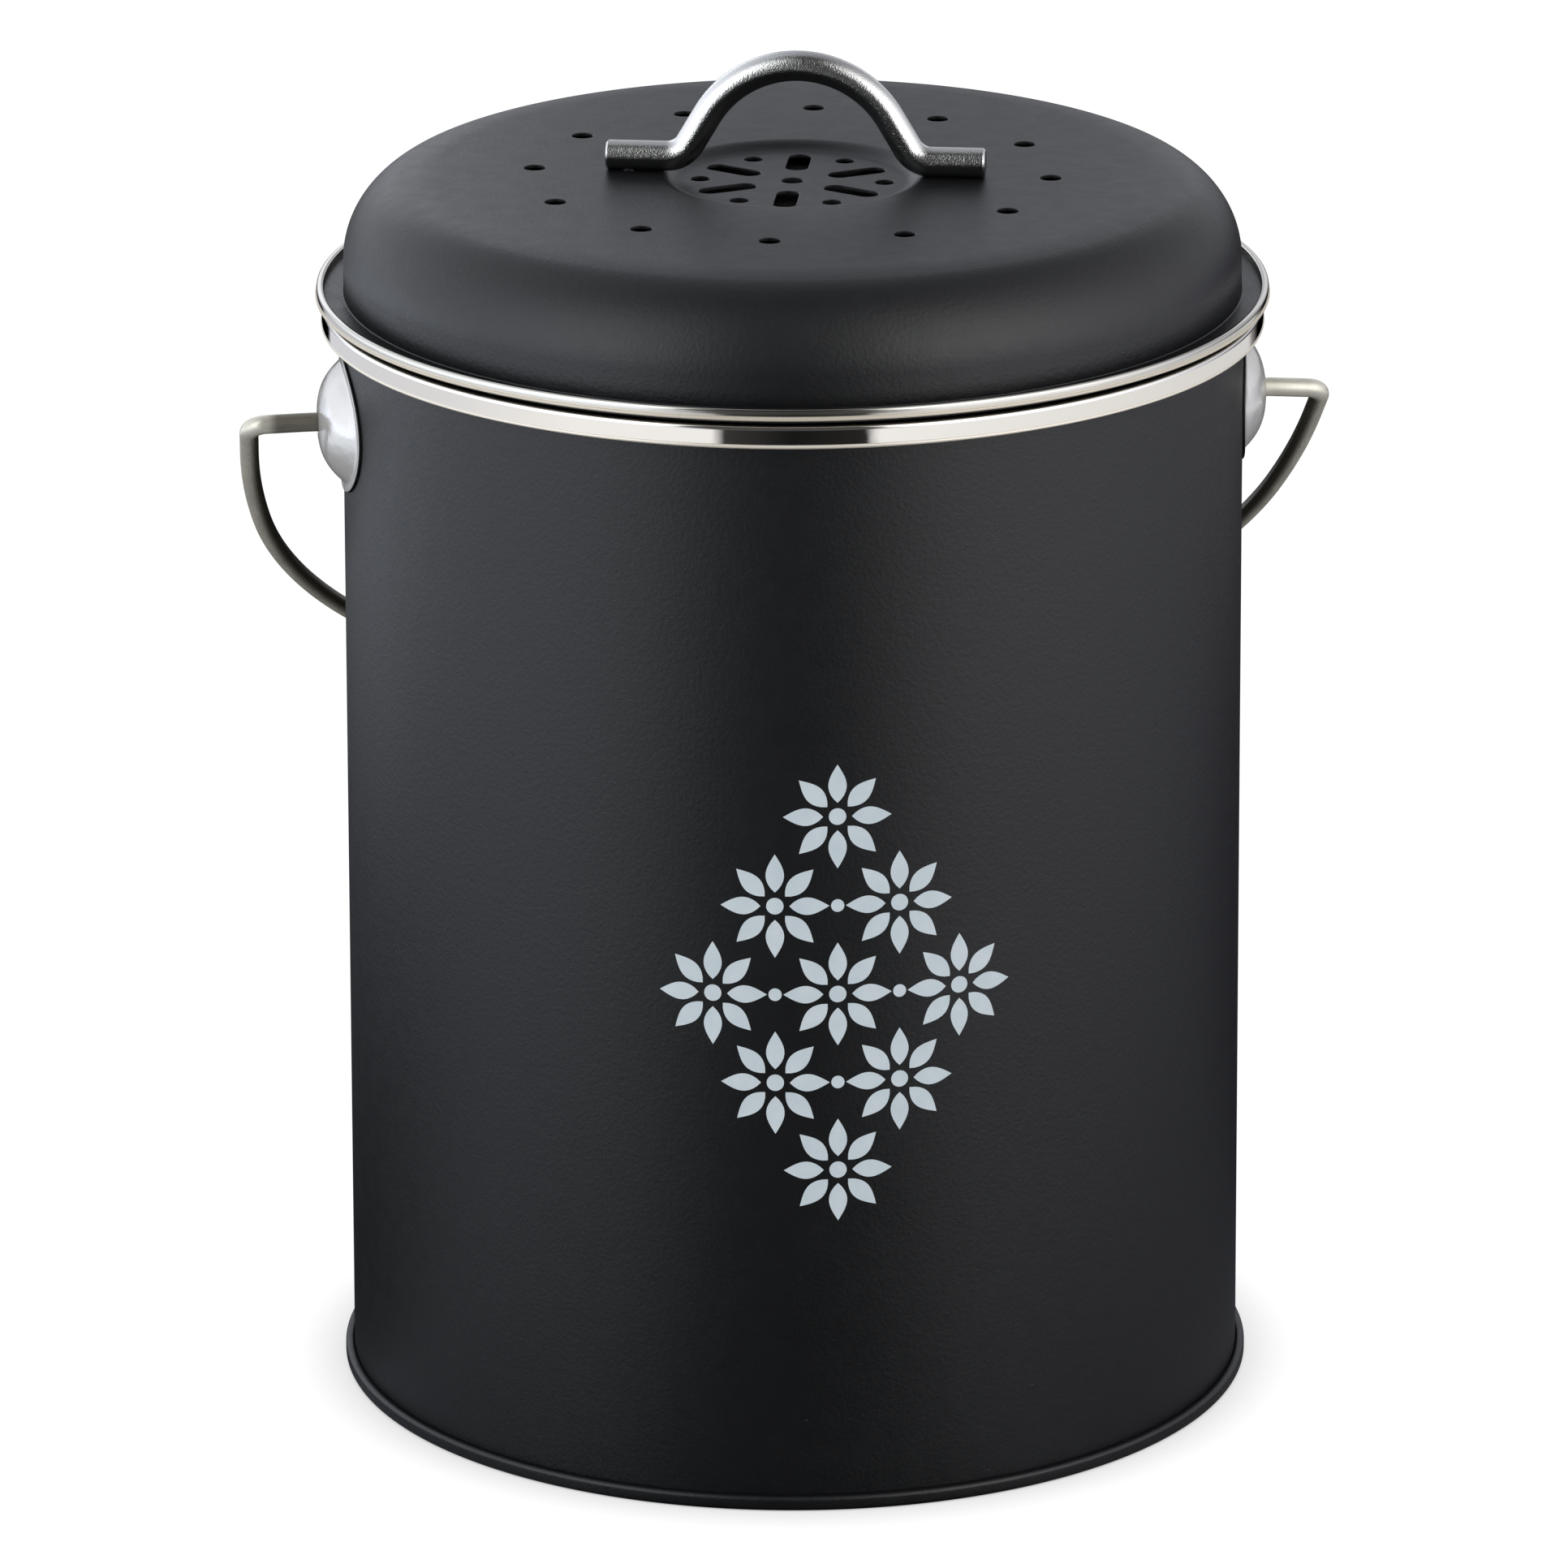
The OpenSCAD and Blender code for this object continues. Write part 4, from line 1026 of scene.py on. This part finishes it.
def slab(work, outline, angle, low, high, bevel):
    """Add an upright slab over a turned outline, with its edges rounded."""
    rings = [[work.verts.new((x * MM, y * MM, z * MM))
              for x, y in (swing(*spot, angle) for spot in outline)] for z in (low, high)]
    count = len(outline)
    made = [work.faces.new([rings[0][i], rings[0][(i + 1) % count],
                            rings[1][(i + 1) % count], rings[1][i]]) for i in range(count)]
    made += [work.faces.new(rings[0][::-1]), work.faces.new(rings[1])]
    edges = list({edge for face in made for edge in face.edges})
    bmesh.ops.bevel(work, geom=edges, offset=bevel * MM, segments=3, profile=0.5, affect="EDGES")


work = bmesh.new()
work.from_mesh(tray.data)
grip_x, grip_y = GRIP_L / 2, GRIP_T / 2
slab(work, [(-grip_x, -grip_y), (grip_x, -grip_y), (grip_x, grip_y), (-grip_x, grip_y)],
     LID_TURN, TRAY_Z - GRIP_H, TRAY_Z + TRAY_FLOOR / 2, 0.5)
sector = (arc(0, 0, LUG_R, -LUG_A / 2, LUG_A / 2, 8)
          + arc(0, 0, TRAY_R - LUG_IN, LUG_A / 2, -LUG_A / 2, 8))
for i in range(3):
    slab(work, sector, LID_TURN + 30 + 120 * i, TRAY_Z, TRAY_Z + LUG_T, 0.25)
bmesh.ops.recalc_face_normals(work, faces=work.faces)
for face in work.faces:
    face.material_index = len(tray.data.materials) - 1
work.to_mesh(tray.data)
work.free()
settle(tray, "filter", "tray_plastic", "filter_tray")
print("tray:", len(tray.data.polygons), "faces")

# %% [markdown]
# The charcoal pad is a disc cut from thick felt. Felt is soft, so its rim is round, its faces are
# a little uneven and nothing on it is sharp. The lathe makes a disc with many rings, and a noise
# field then presses the skin inwards by a fraction of a millimetre.

# %% Cut the felt pad
PAD_R, PAD_LOW, PAD_TOP, PAD_SOFT, PAD_STEP = 59.5, 237.4, 245.4, 2.2, 3.5
PAD_UNEVEN, PAD_WAVES = 0.35, 90
flat_r = PAD_R - PAD_SOFT
flat_rings = [flat_r - PAD_STEP * i for i in range(16)]
felt = turn(
    "felt",
    [(0, PAD_LOW)] + [(r, PAD_LOW) for r in flat_rings[::-1]]
    + arc(flat_r, PAD_LOW + PAD_SOFT, PAD_SOFT, -90, 0, 6)[1:]
    + arc(flat_r, PAD_TOP - PAD_SOFT, PAD_SOFT, 0, 90, 6)
    + [(r, PAD_TOP) for r in flat_rings[1:]] + [(0, PAD_TOP)], charcoal_felt, 120)
middle = Vector((0, 0, (PAD_LOW + PAD_TOP) / 2 * MM))
felt.data.update()
for vertex in felt.data.vertices:
    sunk = PAD_UNEVEN * (0.5 + 0.5 * noise.noise(vertex.co * PAD_WAVES)) * MM
    inward = -vertex.normal if (vertex.co - middle).dot(vertex.normal) > 0 else vertex.normal
    vertex.co += inward * sunk
settle(felt, "filter", "charcoal_felt", "filter_pad")

# %% [markdown]
# ## The studio
# Polished steel and satin paint show little of their own colour: they show the room. This room has
# a tall light box on either side, a pale wall behind that fades upwards, and a dark gap in front,
# where the camera stands. One group describes the room by compass direction. Both the world and
# the floor use it, because the upright wall of the pail mirrors the floor. The camera itself sees
# plain white.

# %% Helpers for the room
def ramp_of(tree, value, stops):
    """A colour ramp with stops given as (place, grey) or (place, red, green, blue)."""
    ramp = tree.add("ValToRGB", {0: value})
    marks = ramp.color_ramp.elements
    while len(marks) < len(stops):
        marks.new(0.5)
    for mark, (place, *colour) in zip(marks, stops):
        mark.position = place
        mark.color = tuple(colour * 3 if len(colour) == 1 else colour) + (1,)
    return ramp.outputs[0]


def emptied(owner):
    """The tree of a world or a material, without the nodes that it starts with."""
    owner.use_nodes = True
    owner.node_tree.nodes.clear()
    return Tree(owner.node_tree)


def dimmed(tree, colour, by):
    """A colour times a number."""
    return tree.get("VectorMath", {0: colour, "Scale": by}, operation="SCALE")


def first_mirror(tree, ray):
    """1 for what the first mirror shows, and less for what is mirrored twice or more."""
    again = tree.calc("GREATER_THAN", ray["Glossy Depth"], 1.5)
    return tree.calc("MULTIPLY_ADD", again, SECOND_LOOK - 1.0, 1.0)


def seen_plainly(tree, ray):
    """1 for what is seen without a mirror."""
    return tree.calc("MAXIMUM", ray["Is Camera Ray"], ray["Is Transmission Ray"])


SECOND_LOOK = 0.2
print("room helpers ready")

# %% Group: the studio by direction
# Every ramp goes round the room. Its stops are degrees from the camera, left negative.
ROOM = {
    "Boxes": [(-150, 0.0), (-135, 0.10, 0.11, 0.13), (-114, 0.19, 0.20, 0.23),
              (-85, 0.40, 0.42, 0.47), (-60, 0.83, 0.86, 0.93), (-42, 0.96, 1.0, 1.0),
              (-33, 0.96, 1.0, 1.0), (-26, 0.02), (0, 0.02), (20, 0.02), (28, 1.0, 1.0, 1.0),
              (60, 0.90, 0.90, 0.91), (85, 0.40, 0.40, 0.42), (114, 0.13, 0.13, 0.15),
              (140, 0.0)],
    "Wall": [(-180, 0.54, 0.55, 0.60), (-160, 0.78, 0.81, 0.89), (-135, 0.92, 0.96, 1.0),
             (-100, 0.6), (-60, 0.06), (0, 0.02), (60, 0.06), (100, 0.45),
             (135, 0.50, 0.51, 0.54), (180, 0.54, 0.55, 0.60)],
    "Ground": [(-170, 0.0), (-158, 0.02), (-142, 0.26, 0.28, 0.31), (-121, 0.78, 0.84, 0.96),
               (-93, 0.84, 0.91, 1.0), (-60, 0.82, 0.88, 1.0), (-35, 0.72, 0.75, 0.83),
               (-18, 0.05), (0, 0.03), (18, 0.05), (34, 0.72, 0.72, 0.76),
               (73, 0.70, 0.70, 0.75), (102, 0.39, 0.40, 0.46), (130, 0.04, 0.04, 0.06),
               (158, 0.0)],
    "Skirting": [(-151, 0.0), (-149, 0.70, 0.72, 0.78), (-90, 0.80, 0.81, 0.84),
                 (-50, 1.0, 1.0, 1.0), (-18, 1.0, 1.0, 1.0), (-16, 0.04), (0, 0.01), (17, 0.02),
                 (19, 1.0, 1.0, 1.0), (90, 0.85, 0.85, 0.84), (142, 0.72, 0.72, 0.72),
                 (146, 0.25, 0.23, 0.22), (151, 0.0)],
    "Steepness": [(-115, 0.82), (-75, 0.27), (75, 0.26), (115, 0.27)],
}
studio = start_group("studio", "ShaderNodeTree", {"Vector": "Vector"},
                     {label: "Color" for label in ROOM} | {"Steepness": "Float"})
facing = studio.split(studio.spin(studio.given["Vector"], CAMERA_TURN))
compass = studio.calc("DIVIDE", studio.calc("ARCTAN2", facing["X"],
                                            studio.calc("MULTIPLY", facing["Y"], -1.0)), pi)
full_circle = studio.calc("MULTIPLY_ADD", compass, 0.5, 0.5)
studio_group = studio.close(**{
    label: ramp_of(studio, full_circle, [(0.5 + angle / 360, *colour) for angle, *colour in stops])
    for label, stops in ROOM.items()})

# %% [markdown]
# A mirror's ray sees the room, soft light comes from an even grey, and the camera sees white. The
# floor works in the same way: mirrors see the room's ground, soft light meets matt white, and the
# camera sees white with a faint shadow where the pail stands. What is mirrored twice is dimmed,
# which keeps the narrow grooves dark.

# %% Light the world
BOX_POWER, DIFFUSE_GREY = 2.6, (0.6, 0.6, 0.6)
world = bpy.data.worlds.new("studio")
bpy.context.scene.world = world
sky = emptied(world)
ray = sky.add("LightPath").outputs
heading = sky.add("TexCoord").outputs["Generated"]
room = sky.add("Group", {"Vector": heading}, node_tree=studio_group).outputs
climb = sky.split(heading)["Z"]
box_height = ramp_of(sky, climb, [(0.0, 1.0), (0.25, 0.95), (0.55, 0.84), (0.80, 0.47),
                                  (0.97, 0.0)])
wall_height = ramp_of(sky, climb, [(0.0, 1.0), (0.31, 1.0), (0.50, 0.84), (0.70, 0.66),
                                   (0.92, 0.62), (1.0, 0.25)])
both_lights = sky.get("VectorMath",
                      {0: dimmed(sky, room["Boxes"], sky.calc("MULTIPLY", box_height, BOX_POWER)),
                       1: dimmed(sky, room["Wall"], wall_height)}, operation="ADD")
glossy = sky.mix(ray["Is Glossy Ray"], DIFFUSE_GREY,
                 dimmed(sky, both_lights, first_mirror(sky, ray)))
plain = sky.mix(seen_plainly(sky, ray), glossy, (1, 1, 1))
sky.add("OutputWorld", {"Surface": sky.get("Background", {"Color": plain, "Strength": 1.0})})
print(world.name, len(sky.tree.nodes), "nodes")

# %% Lay the floor
FLOOR_HALF, NEAR_END, FAR_END = 6000, 0.64, 1.2
CONTACT_REACH, CONTACT_LIGHT, CONTACT_DARK = 0.014, 0.55, 0.41
floor_mesh = flat_mesh("floor", [(x * FLOOR_HALF, y * FLOOR_HALF, 0) for x, y in
                                 ((-1, -1), (1, -1), (1, 1), (-1, 1))], faces=[(0, 1, 2, 3)])
floor = bpy.data.objects.new("floor", floor_mesh)
bpy.context.scene.collection.objects.link(floor)
floor_white = bpy.data.materials.new("floor_white")
ground = emptied(floor_white)
ray = ground.add("LightPath").outputs
where = ground.add("TexCoord").outputs["Object"]
room = ground.add("Group", {"Vector": where}, node_tree=studio_group).outputs
reach = ground.add("VectorMath", {0: where}, operation="LENGTH").outputs["Value"]
# Painted shadow: the floor's mirrored look darkens towards the pail, more steeply behind it, for
# the pail's shade on the floor.
fade = ramp_of(ground, reach, [(0.09, 0.16), (0.20, 0.28), (0.38, 0.46), (NEAR_END, 1.0)])
far = ground.rescale(reach, NEAR_END, FAR_END, 1.25, 2.0)
faded = ground.calc("POWER", fade, ground.calc("MULTIPLY", room["Steepness"], 4.0))
near_floor = dimmed(ground, room["Ground"], ground.calc("MULTIPLY", faded, far))
skirting = ramp_of(ground, ground.calc("MULTIPLY", reach, 0.5),
                   [(0.360, 0.0), (0.375, 1.0), (0.475, 1.0), (0.50, 0.0)])
mirrored = ground.get("Emission",
                      {"Color": ground.mix(skirting, near_floor, room["Skirting"]),
                       "Strength": first_mirror(ground, ray)})
contact = ground.add("AmbientOcclusion", {"Distance": CONTACT_REACH}, samples=8)
white = ground.get("Emission",
                   {"Color": (1, 1, 1),
                    "Strength": ground.calc("MULTIPLY_ADD", contact.outputs["AO"],
                                            CONTACT_LIGHT, CONTACT_DARK)})
matt = ground.get("BsdfDiffuse", {"Color": (0.8, 0.8, 0.8)})
faint = ground.get("BsdfDiffuse", {"Color": (0.12, 0.12, 0.12)})
bright = ground.get("AddShader", {0: white, 1: faint})
glossy = ground.get("MixShader", {0: ray["Is Glossy Ray"], 1: matt, 2: mirrored})
both = ground.get("MixShader", {0: seen_plainly(ground, ray), 1: glossy, 2: bright})
ground.add("OutputMaterial", {"Surface": both})
floor_mesh.materials.append(floor_white)
print("floor", 2 * FLOOR_HALF * MM, "m wide")

# %% [markdown]
# The room serves the mirrors, and five lamps serve what is matt: the coat, the ink and the seal.
# The large ones stay out of the mirrors, because the room already has its light boxes there. Only
# the two small ones behind the pail are mirrored, for the glints on the lid.

# %% Hang the soft lamps
def soft_lamp(name, place, aim_at, wide, high, watts, colour, mirrored=False):
    """A large soft box that looks at one point. The room already holds its mirror image."""
    lamp = bpy.data.lights.new(name, "AREA")
    lamp.shape, lamp.size, lamp.size_y = "RECTANGLE", wide, high
    lamp.energy, lamp.color = watts, colour
    holder = bpy.data.objects.new(name, lamp)
    holder.location = place
    holder.rotation_euler = (Vector(aim_at) - Vector(place)).to_track_quat("-Z", "Y").to_euler()
    holder.visible_glossy = mirrored
    holder.visible_camera = False
    bpy.context.scene.collection.objects.link(holder)


soft_lamp("left_light", (-1.7, -0.7, 0.8), (0, 0, 0.12), 1.1, 1.6, 9, (0.95, 0.97, 1.0))
soft_lamp("right_light", (1.6, -0.8, 0.8), (0, 0, 0.12), 1.1, 1.6, 8, (1.0, 0.99, 0.98))
soft_lamp("left_rear_light", (-0.13, 0.45, 0.40), (-0.05, 0, 0.25), 0.22, 0.22, 0.10,
          (0.90, 0.95, 1.0), mirrored=True)
soft_lamp("right_rear_light", (0.26, 0.45, 0.40), (0.06, 0, 0.25), 0.22, 0.22, 0.05,
          (0.95, 0.97, 1.0), mirrored=True)
soft_lamp("top_light", (0.0, 0.3, 1.8), (0, 0, 0.1), 1.2, 1.2, 5, (1.0, 1.0, 1.0))
print("five soft lamps")
